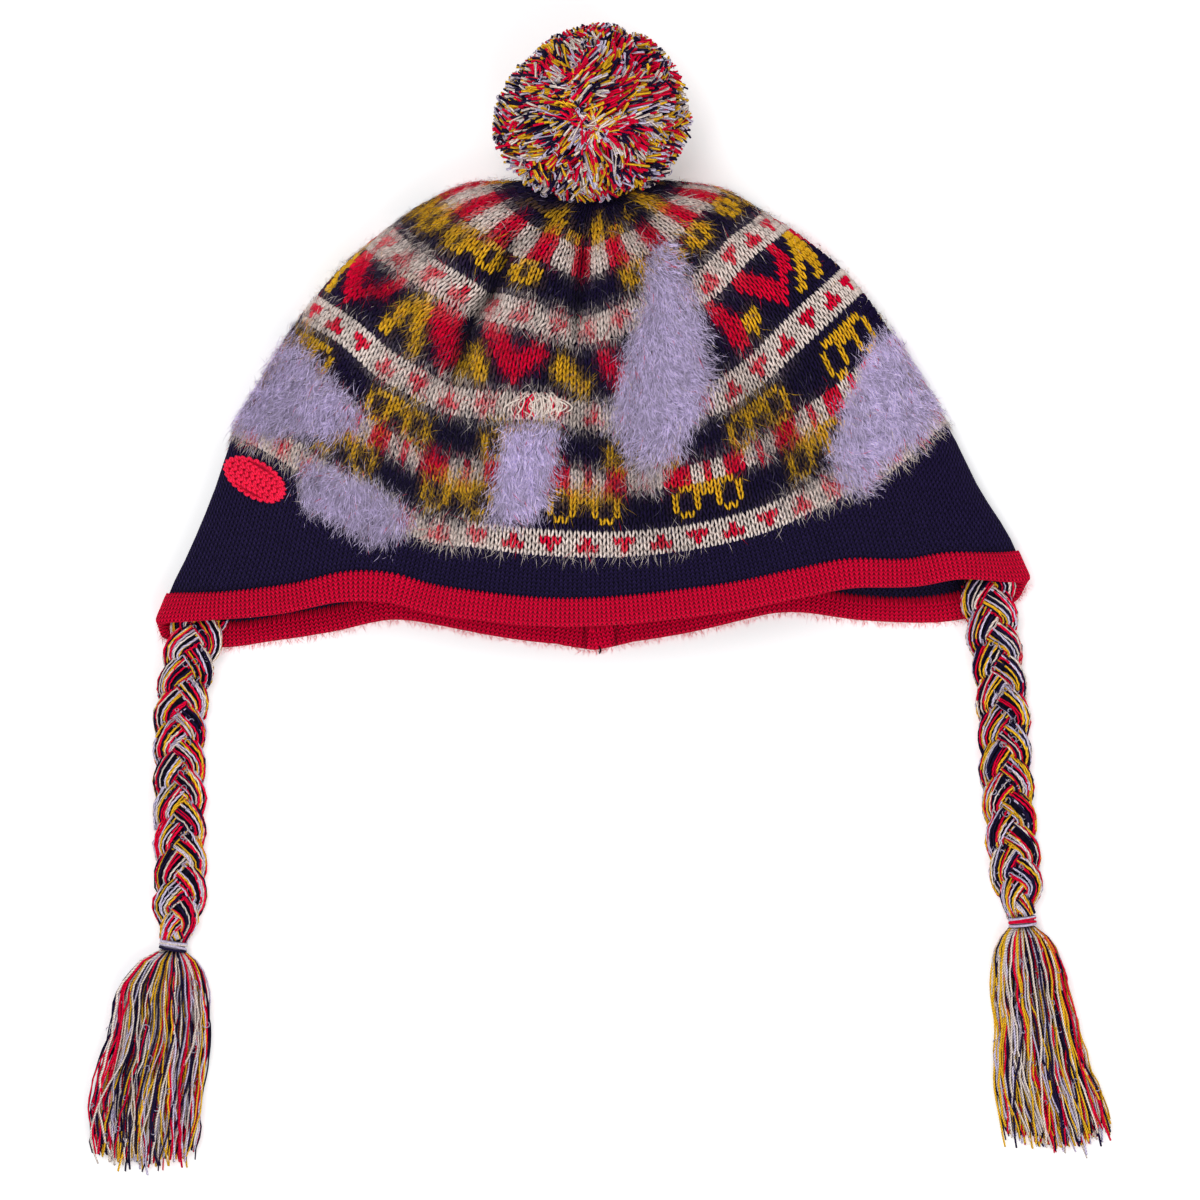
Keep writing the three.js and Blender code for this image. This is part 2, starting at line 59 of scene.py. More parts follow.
def linearColour(screen):
    # screen colour to the linear light that shaders use: ((c + 0.055) / 1.055) to the power 2.4
    c = np.asarray(screen, float) / 255
    return np.where(c <= 0.04045, c / 12.92, ((c + 0.055) / 1.055) ** 2.4)


palette = {name: linearColour(screen) for name, screen in yarnColours.items()}

view = {
    "middle": (1.85, -96.8),  # where the camera points, seen from above
    "width": 445,  # width of the picture on the ground
    "distance": 5000,
}
light = {
    "key": {"place": (-500, 450, 2000), "size": 1000, "watts": 18},
    "fill": {"place": (700, -1200, 1500), "size": 1500, "watts": 14},
    "aim": (0, -80, 0),
    "sky": 0.46,
}
cloth = {"half": 3000, "colour": (0.92, 0.92, 0.93, 1), "glow": 0.3, "weave": 900}  # glow keeps shadows faint


def placeCamera():
    # straight down from above, with the lens that shows the wanted width at that distance
    camera = bpy.data.objects.new("camera", bpy.data.cameras.new("camera"))
    bpy.context.scene.collection.objects.link(camera)
    camera.location = (view["middle"][0] * mm, view["middle"][1] * mm, view["distance"] * mm)
    camera.data.sensor_width = 36
    camera.data.lens = camera.data.sensor_width * view["distance"] / view["width"]
    camera.data.clip_end = 100
    bpy.context.scene.camera = camera


def placeLight(name, values):
    # a square soft light that faces the cap
    lamp = bpy.data.objects.new(name, bpy.data.lights.new(name, "AREA"))
    bpy.context.scene.collection.objects.link(lamp)
    lamp.location = np.array(values["place"]) * mm
    lamp.data.size = values["size"] * mm
    lamp.data.energy = values["watts"]
    away = np.array(values["place"]) - np.array(light["aim"])
    lamp.rotation_euler = (
        math.atan2(math.hypot(away[0], away[1]), away[2]), 0, math.atan2(away[1], away[0]) + math.pi / 2)


def setInputs(material, node, values):
    # each input takes a plain value or another node's output
    for name, value in values.items():
        if isinstance(value, bpy.types.NodeSocket):
            material.node_tree.links.new(value, node.inputs[name])
        else:
            node.inputs[name].default_value = value


def addNode(material, kind, values, **settings):
    node = material.node_tree.nodes.new("ShaderNode" + kind)
    for name, value in settings.items():
        setattr(node, name, value)
    setInputs(material, node, values)
    return node


def mathNode(material, operation, *values):
    return addNode(material, "Math", dict(enumerate(values)), operation=operation).outputs["Value"]


def newMaterial(name):
    material = bpy.data.materials.new(name)
    material.use_nodes = True
    return material, material.node_tree.nodes["Principled BSDF"]


def makeFloor():
    # a flat pale sheet with a faint weave
    h = cloth["half"] * mm
    mesh = bpy.data.meshes.new("floor")
    mesh.from_pydata([(-h, -h, 0), (h, -h, 0), (h, h, 0), (-h, h, 0)], [], [(0, 1, 2, 3)])
    floor = bpy.data.objects.new("floor", mesh)
    bpy.context.scene.collection.objects.link(floor)
    material, shader = newMaterial("whiteCloth")
    place = addNode(material, "TexCoord", {})
    weave = addNode(material, "TexNoise", {"Vector": place.outputs["Object"], "Scale": cloth["weave"]})
    bump = addNode(material, "Bump", {"Height": weave.outputs["Fac"], "Strength": 0.08, "Distance": 0.0002})
    setInputs(material, shader, {
        "Base Color": cloth["colour"], "Roughness": 0.9, "Emission Color": (1, 1, 1, 1),
        "Emission Strength": cloth["glow"], "Normal": bump.outputs["Normal"]})
    mesh.materials.append(material)


placeCamera()
placeLight("keyLight", light["key"])
placeLight("fillLight", light["fill"])
makeFloor()
world = bpy.data.worlds.new("softSky")
bpy.context.scene.world = world
world.use_nodes = True
world.node_tree.nodes["Background"].inputs["Color"].default_value = (1, 1, 1, 1)
world.node_tree.nodes["Background"].inputs["Strength"].default_value = light["sky"]
bpy.context.scene.view_settings.view_transform = "Standard"
print("camera, floor and light are in place")


def unit(vectors):
    return vectors / np.maximum(np.linalg.norm(vectors, axis=-1, keepdims=True), 1e-9)


def smoothStep(value, low, high):
    # 3 t^2 - 2 t^3 between low and high
    t = np.clip((value - low) / (high - low), 0, 1)
    return t * t * (3 - 2 * t)


def readTable(keys, values, at):
    # cubic Hermite curve through a table, with the slope at each point taken between its neighbours
    keys = np.asarray(keys, float)
    values = np.asarray(values, float)
    last = len(keys) - 1
    before = np.maximum(np.arange(last + 1) - 1, 0)
    after = np.minimum(np.arange(last + 1) + 1, last)
    slopes = (values[after] - values[before]) / (keys[after] - keys[before])
    at = np.clip(at, keys[0], keys[-1])
    i = np.clip(np.searchsorted(keys, at, side="right") - 1, 0, last - 1)
    width = keys[i + 1] - keys[i]
    u = (at - keys[i]) / width
    start = (2 * u**3 - 3 * u**2 + 1) * values[i] + (u**3 - 2 * u**2 + u) * slopes[i] * width
    end = (3 * u**2 - 2 * u**3) * values[i + 1] + (u**3 - u**2) * slopes[i + 1] * width
    return start + end


def gridFaces(rows, columns, closedRows=False):
    # two triangles for each cell of a grid of rows x columns points with closed columns, and the
    # column and row numbers at each corner
    i = np.arange(rows if closedRows else rows - 1)[:, None]
    j = np.arange(columns)[None, :]
    here = i * columns + j
    right = i * columns + (j + 1) % columns
    below = ((i + 1) % rows) * columns + j
    across = ((i + 1) % rows) * columns + (j + 1) % columns
    faces = np.stack([here, below, across, here, across, right], -1).reshape(-1, 3)
    u = np.stack([j, j, j + 1, j, j + 1, j + 1], -1) + 0 * i[..., None]
    v = np.stack([i, i + 1, i + 1, i, i + 1, i], -1) + 0 * j[..., None]
    return faces, np.stack([u, v], -1).reshape(-1, 3, 2).astype(float)


def sheetPart(points, faces, uv, colour, yarnUv=None):
    # a closed mesh, with its faces turned outwards if its volume comes out negative
    a, b, c = (points[faces[:, k]] for k in range(3))
    yarnUv = uv if yarnUv is None else yarnUv
    if np.einsum("ij,ij->i", a, np.cross(b, c)).sum() <= 0:
        faces, uv, yarnUv = faces[:, ::-1], uv[:, ::-1], yarnUv[:, ::-1]
    colours = np.broadcast_to(np.asarray(colour, float), (len(points), 3))
    return {"points": points, "faces": faces, "uv": uv, "yarnUv": yarnUv, "colours": colours}


def closedRounds(rounds, first, final, colour):
    # rings of points one after another, closed by a point before the first ring and one after the last
    rows, columns, _ = rounds.shape
    points = np.concatenate([rounds.reshape(-1, 3), [final], [first]])
    faces, cells = gridFaces(rows, columns)
    j = np.arange(columns)
    k = (j + 1) % columns
    end = rows * columns
    fans = np.concatenate([np.stack([end - columns + j, 0 * j + end, end - columns + k], -1),
                           np.stack([0 * j + end + 1, j, k], -1)])
    uv = np.concatenate([cells / np.array([columns, rows]), np.full((len(fans), 3, 2), 0.98)])
    return sheetPart(points, np.concatenate([faces, fans]), uv, colour)


def aboveGround(points, low=0.02):
    # keeps points from going below the ground
    return np.concatenate([points[..., :2], np.maximum(points[..., 2:], low)], -1)


def strands(paths, upwards, radii, sides, colours, low=-1000, upRadii=None):
    # Many closed strands at once, in a colour each: a ring of points at every inner point of a path,
    # drawn together at its two ends. A ring is centre + side r cos(a) + up r sin(a), with side = path
    # direction x up. Every strand has a cell of its own on a square map, ordered by colour.
    count, steps, _ = paths.shape
    rings = steps - 2
    inner = paths[:, 1:-1]
    along = unit(np.gradient(inner, axis=1) if rings > 1 else paths[:, 2:] - paths[:, :-2])
    side = unit(np.cross(along, upwards))[:, :, None]
    up = np.cross(side, along[:, :, None])
    angle = 2 * np.pi * np.arange(sides) / sides
    wide = np.broadcast_to(radii, (count, rings))[..., None, None]
    tall = wide if upRadii is None else np.broadcast_to(upRadii, (count, rings))[..., None, None]
    ring = inner[:, :, None] + wide * np.cos(angle)[:, None] * side + tall * np.sin(angle)[:, None] * up
    points = np.concatenate([paths[:, :1], ring.reshape(count, rings * sides, 3), paths[:, -1:]], 1)
    faces, corners = gridFaces(rings, sides)
    j = np.arange(sides)
    k = (j + 1) % sides
    final = 1 + (rings - 1) * sides
    startFan = np.stack([0 * j, 1 + j, 1 + k], -1)
    endFan = np.stack([0 * j + 1 + rings * sides, final + k, final + j], -1)
    one = 0 * j + 1
    startUv = np.stack([j + 0.5, 0 * j, j, one, j + 1, one], -1).reshape(-1, 3, 2)
    endUv = np.stack([j + 0.5, one + rings, j + 1, one * rings, j, one * rings], -1).reshape(-1, 3, 2)
    faces = np.concatenate([faces + 1, startFan, endFan])
    corners = np.concatenate([corners + np.array([0, 1]), startUv, endUv]) / np.array([sides, steps - 1])
    size = points.shape[1]
    everyFace = (faces + size * np.arange(count)[:, None, None]).reshape(-1, 3)
    colours = np.broadcast_to(colours, (count, 3))
    perRow = math.ceil(math.sqrt(count))
    order = np.empty(count, int)
    order[np.lexsort(colours.T)] = np.arange(count)
    cell = np.stack([order % perRow, order // perRow], -1)[:, None, None]
    return {"points": aboveGround(points, low).reshape(-1, 3), "faces": everyFace,
            "uv": ((cell + 0.1 + 0.8 * corners) / perRow).reshape(-1, 3, 2),
            "yarnUv": np.tile(corners, (count, 1, 1)), "colours": np.repeat(colours, size, axis=0)}


def joined(parts):
    # several parts as one, each on its own strip of the map
    start = np.cumsum([0] + [len(p["points"]) for p in parts[:-1]])
    wide = 1 / len(parts)
    whole = {key: np.concatenate([p[key] for p in parts]) for key in ("points", "colours", "yarnUv")}
    whole["faces"] = np.concatenate([p["faces"] + s for p, s in zip(parts, start)])
    whole["uv"] = np.concatenate([p["uv"] * np.array([wide, 1]) + np.array([i * wide, 0])
                                  for i, p in enumerate(parts)])
    return whole


def addPiece(name, part, material, replaced=()):
    # puts arrays into a mesh object that rides on the cap
    mesh = bpy.data.meshes.new(name)
    faces = part["faces"]
    mesh.vertices.add(len(part["points"]))
    mesh.vertices.foreach_set("co", (part["points"] * mm).astype(np.float32).ravel())
    mesh.loops.add(faces.size)
    mesh.loops.foreach_set("vertex_index", faces.astype(np.int32).ravel())
    mesh.polygons.add(len(faces))
    mesh.polygons.foreach_set("loop_start", np.arange(0, faces.size, 3, dtype=np.int32))
    mesh.polygons.foreach_set("use_smooth", np.ones(len(faces), bool))
    colours = np.concatenate([part["colours"], np.ones((len(part["points"]), 1))], 1)
    layer = mesh.color_attributes.new("yarnColour", "FLOAT_COLOR", "POINT")
    layer.data.foreach_set("color", colours.astype(np.float32).ravel())
    for label, key in (("OFBake", "uv"), ("yarnUv", "yarnUv")):
        mesh.uv_layers.new(name=label).data.foreach_set("uv", part[key].astype(np.float32).ravel())
    mesh.update(calc_edges=True)
    mesh.materials.append(material)
    piece = bpy.data.objects.new(name, mesh)
    bpy.context.scene.collection.objects.link(piece)
    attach(piece, "root")
    if replaced:
        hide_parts(*replaced)
    print(name, len(faces), "triangles")
    return piece


def plyPattern(material, around, along, values):
    # the twist of the plies: a sine along a diagonal of the yarn's own map
    turns = mathNode(material, "MULTIPLY", around, 4 * math.pi)
    angle = mathNode(material, "MULTIPLY_ADD", along, 2 * math.pi * values["plies"], turns)
    return mathNode(material, "SINE", angle)


def ribPattern(material, rib, row, values):
    # V stitches from the rib and row numbers in the piece's own map. With d the distance from the
    # middle of a rib, a stitch rises as 1.5 (1 - |2 f - 1|) - (2 d)^2 over its fraction f of a row,
    # which is set back by 1.7 d.
    middle = mathNode(material, "ABSOLUTE", mathNode(
        material, "SUBTRACT", mathNode(material, "FRACT", rib), 0.5))
    fraction = mathNode(material, "FRACT", mathNode(material, "MULTIPLY_ADD", middle, 1.7, row))
    stitch = mathNode(material, "SUBTRACT", 1, mathNode(
        material, "ABSOLUTE", mathNode(material, "MULTIPLY_ADD", fraction, 2, -1)))
    groove = mathNode(material, "POWER", mathNode(material, "MULTIPLY", middle, 2), 2)
    return mathNode(material, "SUBTRACT", mathNode(material, "MULTIPLY", stitch, 1.5), groove)


# A pattern's weight in the bump, and the heights between which its shade goes from dark to light: painted
# shade in its grooves, painted highlight on its ridges.
plied = {"make": plyPattern, "weight": 0.5, "heights": (-1, 1), "shades": (0.7, 1.35)}
ribbed = {"make": ribPattern, "weight": 1.6, "heights": (-0.5, 1.4)}


def shaded(material, colour, value, heights, shades):
    # a colour times a shade, which goes from dark to light as the value goes between two heights
    shade = addNode(material, "MapRange", {
        "Value": value, "From Min": heights[0], "From Max": heights[1],
        "To Min": shades[0], "To Max": shades[1]})
    scale = {0: colour, "Scale": shade.outputs["Result"]}
    return addNode(material, "VectorMath", scale, operation="SCALE").outputs["Vector"]


# What all the wools share. Specks are the noise's values for the darkest and the lightest speck.
finish = {"roughness": 0.95, "sheenRoughness": 0.5, "specular": 0.03, "specks": (0.3, 0.7), "detail": 3}


def woolMaterial(name, bump, speckDepth, speckScale=1400, bumpDepth=0.0003, sheen=0.02, pattern=None,
                 **values):
    # the yarn's own colour, lighter and darker in fine specks, with a fibre bump and a soft sheen
    material, shader = newMaterial(name)
    place = addNode(material, "TexCoord", {})
    own = addNode(material, "Attribute", {}, attribute_name="yarnColour")
    specks = addNode(material, "TexNoise", {
        "Vector": place.outputs["Object"], "Scale": speckScale, "Detail": finish["detail"]}).outputs["Fac"]
    shades = (1 - speckDepth, 1 + speckDepth)
    colour = shaded(material, own.outputs["Color"], specks, finish["specks"], shades)
    height = specks
    if pattern:
        pattern = {**pattern, **values}
        yarn = addNode(material, "UVMap", {}, uv_map="yarnUv")
        parts = addNode(material, "SeparateXYZ", {"Vector": yarn.outputs["UV"]})
        relief = pattern["make"](material, parts.outputs["X"], parts.outputs["Y"], pattern)
        height = mathNode(material, "MULTIPLY_ADD", relief, pattern["weight"], specks)
        # painted shade in the pattern's grooves and painted highlight on its ridges
        colour = shaded(material, colour, relief, pattern["heights"], pattern["shades"])
    bumps = addNode(material, "Bump", {"Height": height, "Strength": bump, "Distance": bumpDepth})
    setInputs(material, shader, {
        "Base Color": colour, "Normal": bumps.outputs["Normal"], "Roughness": finish["roughness"],
        "Sheen Weight": sheen, "Sheen Roughness": finish["sheenRoughness"],
        "Specular IOR Level": finish["specular"]})
    return material


wool = {
    "stitch": woolMaterial("knitWool", 0.6, 0.3, 1600),
    "shell": woolMaterial("knitBacking", 0.6, 0.5, 900),
    "pile": woolMaterial("brushedPile", 0.4, 0.22, 700, sheen=0.12),
    "fuzz": woolMaterial("looseFibres", 0.1, 0.2, 600, sheen=0.06),
    "plied": woolMaterial("pliedYarn", 0.7, 0.28, bumpDepth=0.0004, pattern=plied, plies=80),
    "cutYarn": woolMaterial("cutYarn", 0.7, 0.3, bumpDepth=0.0004, pattern=plied, plies=6),
    "cotton": woolMaterial("crochetCotton", 0.6, 0.2, pattern=plied, plies=4),
    # on the ribs, painted shade in the grooves and a strong painted highlight on the crests
    "navyRib": woolMaterial("navyRib", 0.8, 0.5, 1300, 0.0005, pattern=ribbed, shades=(0.1, 2)),
    "redRib": woolMaterial("redRib", 0.8, 0.25, 1300, 0.0006, pattern=ribbed, shades=(0.12, 1.78)),
}


cap = {
    "gather": (0, 57, 24),  # where the crown is drawn together
    "wall": 2.4,
    "domeTop": 51,
    "mouthTop": 43,
    "domeReach": 62,
    "floorReach": 36,
    "mouthReach": 165,
    "foldHeight": 8.5,
    "roll": (0.65, 70),  # how much rounder the fold gets away from the gather, and by what reach
    "puff": (0.9, 0.15, 60, 160),  # power of the upper layer's rise at 60, and what it gains by 160
    "crownEdge": 137.6,  # reach of the crown's lower edge in the middle
    "crownRise": 23.4,  # how much farther it is at the folds
    "pleatCount": 9,
    "pleatDepth": 1.6,
    "pleatReach": 26,
    "borderHeight": 9.8,
    "peakHeight": 2,
    "peakWidth": 0.09,
}
outline = {  # half angle of the flat outline at each reach
    "reach": [0, 43, 60, 80, 100, 120, 140, 160, 180, 200, 217, 232],
    "left": [90, 89.3, 83.5, 76.3, 70.7, 64.8, 59.5, 55.5, 51, 47.9, 46.1, 44.5],
    "right": [89, 87, 80.5, 74.6, 69.4, 63.4, 58.3, 54.9, 51.5, 49.5, 47.5, 46.1],
}
mouth = {  # reach of the mouth's edge, from the left fold to the right one
    "across": [-1, -0.98, -0.85, -0.74, -0.62, -0.5, -0.4, -0.25, 0,
               0.2, 0.4, 0.5, 0.63, 0.77, 0.86, 0.96, 1],
    "upper": [229.5, 226.5, 209.5, 196, 181.5, 172.8, 170.3, 166.5, 163.5,
              163.7, 167.8, 171, 177.6, 190.9, 199, 212.5, 217.5],
    "lower": [229.5, 232, 220.3, 206, 192, 179, 174, 171.5, 170.5,
              169.6, 171.2, 176.5, 190, 205, 213, 219.5, 217.5],
}
creases = [  # soft valleys in the upper layer: from, to, depth, width
    ((-3, 44), (-8, -4), 4.5, 8),
    ((33, 28), (44, 14), 3.5, 7),
    ((44, 14), (61, -14), 4, 8),
    ((-38, 18), (-61, -14), 3, 10),
    ((88, -2), (112, -30), 2.5, 10),
]
folds = [  # smaller folds that the knitting shows on top of those
    ((-30, 36), (-38, 15), 3.6, 3.6),
    ((-38, 15), (-46, 5), 3.6, 3.8),
    ((-46, 5), (-49, -10), 3.0, 4.5),
    ((-4, 30), (-7, 2), 3.0, 3.2),
    ((-14, -20), (4, -38), 1.6, 5),
    ((-70, 30), (-100, -2), 1.0, 9),
    ((14, -52), (30, -80), 0.8, 12),
    ((-52, -36), (-30, -60), 1.0, 10),
    ((52, -18), (74, -46), 1.2, 9),
    ((-14, 46), (-24, 34), 1.5, 4),
    ((16, 46), (24, 34), 1.5, 4),
]


def foldAngle(across, reach):
    share = smoothStep(across, -0.5, 0.5)
    left = readTable(outline["reach"], outline["left"], reach)
    right = readTable(outline["reach"], outline["right"], reach)
    return np.radians(left + (right - left) * share)


def distanceToLine(x, y, start, end):
    alongX = end[0] - start[0]
    alongY = end[1] - start[1]
    u = np.clip(((x - start[0]) * alongX + (y - start[1]) * alongY) / (alongX**2 + alongY**2), 0, 1)
    return np.hypot(x - start[0] - u * alongX, y - start[1] - u * alongY)


def fabricMiddle(reach, turn):
    # The plan is a fan about the gather: angle = fold angle times cos(turn), at distance reach. The
    # upper layer climbs from the fold as sin(turn) to a power, less a Gaussian valley for each crease,
    # and the lower layer drops to the ground as 1 - (1 - rise)^2.
    gatherX, gatherY, gatherZ = cap["gather"]
    across = np.cos(turn)
    rise = np.abs(np.sin(turn))
    angle = foldAngle(across, reach) * across
    x = gatherX + reach * np.sin(angle)
    y = gatherY - reach * np.cos(angle)
    settle = np.maximum(0, 1 - reach / cap["domeReach"]) ** 2
    fold = cap["foldHeight"] + (gatherZ - cap["foldHeight"]) * settle
    climb = np.sin(np.pi / 2 * np.minimum(1, reach / cap["domeReach"]))
    sink = np.maximum(0, (reach - cap["domeReach"]) / (cap["mouthReach"] - cap["domeReach"]))
    upper = gatherZ + (cap["domeTop"] - gatherZ) * climb - (cap["domeTop"] - cap["mouthTop"]) * sink
    drop = np.sin(np.pi / 2 * np.minimum(1, reach / cap["floorReach"]))
    lower = gatherZ + (cap["wall"] / 2 - gatherZ) * drop
    most, rollReach = cap["roll"]
    roll = 1 - most * smoothStep(reach, 0, rollReach)
    down = 1 - (1 - np.minimum(1, rise / roll)) ** 2
    power, gain, puffFrom, puffTo = cap["puff"]
    puff = power + gain * smoothStep(reach, puffFrom, puffTo)
    valley = 0
    for start, end, depth, width in creases + folds:
        valley = valley + depth * np.exp(-((distanceToLine(x, y, start, end) / width) ** 2))
    z = np.where(np.sin(turn) < 0, fold + (lower - fold) * down,
                 fold + (upper - fold) * rise**puff - valley * rise)
    return np.stack([x, y, z], -1)


def fabricFrame(reach, turn):
    # a point of the fabric's middle, its outward direction, and its directions along reach and turn
    reach, turn = np.broadcast_arrays(np.asarray(reach, float), np.asarray(turn, float))
    step = 0.01
    down = fabricMiddle(reach + step, turn) - fabricMiddle(reach - step, turn)
    around = fabricMiddle(reach, turn + step) - fabricMiddle(reach, turn - step)
    normal = unit(np.cross(around, down))
    fade = np.exp(-((reach / cap["pleatReach"]) ** 2)) * np.minimum(
        1, reach / (2 * cap["pleatDepth"] * cap["pleatCount"]))
    pleat = cap["pleatDepth"] * np.cos(cap["pleatCount"] * turn) * fade
    point = fabricMiddle(reach, turn) + normal * pleat[..., None]
    return point, normal, unit(down), unit(around)


def fabricPoint(reach, turn, out):
    point, normal, _, _ = fabricFrame(reach, turn)
    return aboveGround(point + normal * np.asarray(out, float)[..., None])


def crownReach(turn):
    return cap["crownEdge"] + cap["crownRise"] * np.cos(turn) ** 2


def mouthEdge(turn):
    across = np.cos(turn)
    peak = cap["peakHeight"] * np.maximum(0, 1 - np.abs(across) / cap["peakWidth"])
    return np.where(np.sin(turn) < 0, readTable(mouth["across"], mouth["lower"], across) + peak,
                    readTable(mouth["across"], mouth["upper"], across))


def turnAt(across):
    # across is -1 at the left fold and 1 at the right one, and runs past them on to the lower layer
    past = np.arccos(np.clip(2 - np.abs(across), -1, 1))
    return np.where(np.abs(across) <= 1, np.arccos(np.clip(across, -1, 1)),
                    np.where(across > 0, -past, np.pi + past))


knit = {
    "wale": 2.75,  # width of a stitch
    "row": 2.6,  # height of a row
    "rows": 54,
    "blocks": [0, 5, 13, 19, 23, 31, 36, 41, 48, 54],  # rows at which stitches are knitted together
    "seed": 5,
}
grid = {
    "turns": 481,  # points of the tables
    "reaches": 400,
    "shares": 721,
    "edges": 1441,
    "step": 0.5,  # in rows
    "out": 1.2,  # height over the fabric's middle at which lengths are measured
    "first": 0.3,  # how far above the crown's edge the rows start
    "last": 5,  # reach at which they may end
}
# The knitting sits askew. How much farther from the gather than even rows a row lies, by how far
# across the front it is: edge for rows 0 to 2, middle for row 21, upper for row 33, none by row 54.
askew = {
    "rows": [0, 2, 21, 33, 54],
    "across": [-1, -0.85, -0.7, -0.6, -0.49, -0.4, -0.3, -0.2, -0.1, 0,
               0.2, 0.42, 0.5, 0.6, 0.7, 0.8, 0.9, 1],
    "edge": [1.5, 0, 1.2, 2.5, 4, 4, 1.8, 1.3, 0.9, 0.8, 1, 1.4, 1, -0.3, -0.4, 0, -2, -4],
    "middle": [2.5, 1.5, 4.6, 5.2, 6.5, 5.4, 3, 0.5, 1, 3.5, 5, 2.9, 0.4, -3, -6.5, -9, -10.3, -10.9],
    "upper": [2, 1.6, 0, 0.3, -0.4, -0.8, -0.9, 0.5, 0.9, 0.3, -3.6, -6, -6.8, -7.6, -10, -12.5, -12.5, -12],
}


def rowShift(row, turn):
    # the table's value at the row, with its fold value fading as cos^4 over the lower layer
    across = np.cos(turn)
    front = np.sin(turn) >= 0
    at = np.where(front, across, np.sign(across))
    fade = np.where(front, 1, across**4)
    names = ("edge", "edge", "middle", "upper")
    lines = [readTable(askew["across"], askew[name], at) * fade for name in names]
    lines.append(0 * lines[0])
    row = np.broadcast_to(row, lines[0].shape)
    total = 0
    for k in range(4):
        low, high = askew["rows"][k], askew["rows"][k + 1]
        share = np.clip((row - low) / (high - low), 0, 1)
        inside = (row >= low) & ((row < high) | (k == 3))
        total = total + inside * (lines[k] * (1 - share) + lines[k + 1] * share)
    return total


def knitEdge(turn):
    # where the fair isle starts
    return crownReach(turn) + rowShift(0, turn)


def lengthAlong(points):
    # how far each point lies along its line, with the lines running down the first axis
    steps = np.linalg.norm(np.diff(points, axis=0), axis=-1)
    return np.concatenate([0 * points[:1, ..., 0], np.cumsum(steps, 0)])


def layRows():
    # For each turn, the reach of every row: the distance up from the crown's edge is
    # row height x i x (1 + c (i / rows)^2), with c such that the last row ends at the gather.
    turns = np.radians(np.linspace(-90, 270, grid["turns"]))
    rows = np.arange(0, knit["rows"] + grid["step"], grid["step"])
    share = np.linspace(0, 1, grid["reaches"])[:, None]
    reach = (crownReach(turns) - grid["first"]) * (1 - share) + grid["last"] * share
    length = lengthAlong(fabricPoint(reach, turns, grid["out"]))
    whole = knit["row"] * knit["rows"]
    reachOfRow = np.empty((len(rows), len(turns)))
    for k in range(len(turns)):
        stretch = length[-1, k] / whole - 1
        distance = knit["row"] * rows * (1 + stretch * (rows / knit["rows"]) ** 2)
        reachOfRow[:, k] = np.interp(distance, length[:, k], reach[:, k])
    return turns, rows, reachOfRow + rowShift(rows[:, None], np.broadcast_to(turns, reachOfRow.shape))


def layWales(turns, rows, reachOfRow):
    # For each row, the turn of every wale: equal lengths round the row on the left and right of the
    # front's middle. Share is -1 at the back seam, 0 in the middle of the front, 1 at the seam again.
    length = lengthAlong(fabricPoint(reachOfRow, turns, grid["out"]).swapaxes(0, 1)).T
    middle = length[:, len(turns) // 2][:, None]
    share = (middle - length) / np.where(length < middle, middle, length[:, -1:] - middle)
    shares = np.linspace(-1, 1, grid["shares"])
    turnOfShare = np.empty((len(rows), len(shares)))
    reachOfShare = np.empty((len(rows), len(shares)))
    for i in range(len(rows)):
        turnOfShare[i] = np.interp(shares, share[i, ::-1], turns[::-1])
        reachOfShare[i] = np.interp(turnOfShare[i], turns, reachOfRow[i])
    return turnOfShare, reachOfShare, length[:, -1]


turnsOfGrid, rowsOfGrid, reachOfRow = layRows()
turnOfShare, reachOfShare, roundLength = layWales(turnsOfGrid, rowsOfGrid, reachOfRow)


def lookUp(row, share):
    # reach and turn at any row and share, by bilinear interpolation
    r = np.clip(row / grid["step"], 0, len(rowsOfGrid) - 1.001)
    s = np.clip((share + 1) / 2 * (grid["shares"] - 1), 0, grid["shares"] - 1.001)
    i = r.astype(int)
    j = s.astype(int)
    a = r - i
    b = s - j

    def blend(table):
        low = table[i, j] * (1 - b) + table[i, j + 1] * b
        high = table[i + 1, j] * (1 - b) + table[i + 1, j + 1] * b
        return low * (1 - a) + high * a

    return blend(reachOfShare), blend(turnOfShare)


def walesIn(row):
    # stitches in a whole row, which stay the same within a block of rows
    starts = np.array(knit["blocks"])
    block = np.clip(np.searchsorted(starts, row, side="right") - 1, 0, len(starts) - 2)
    lowRow = starts[block] * 0.85 + starts[block + 1] * 0.15
    around = np.interp(lowRow, rowsOfGrid, roundLength)
    return 2 * np.round(around / knit["wale"] / 2).astype(int)


# The fair isle chart. Each band has its first row, counted from the crown's edge, the wale at which its
# repeat starts, counted from the middle of the front, and its lines. A dot is navy, r red, c ecru, g gold.
smallMotifs = ["cccccccccc", "crrrcccrcc", "ccrcccrrrc", "cccccccccc"]
goldRings = [".gg....gg........", "g..g..g..g.......", "g..g..g..g.......", "g..gggg..g.......",
             ".gggggggg........"]
chart = [
    (0, -3, smallMotifs), (5, -6, goldRings), (10, -3, ["ccrccrrrccrccrrrr"] * 3), (13, 2, goldRings),
    (19, -2, smallMotifs), (31, -3, smallMotifs), (41, -3, ["rrrccc"] * 5),
]
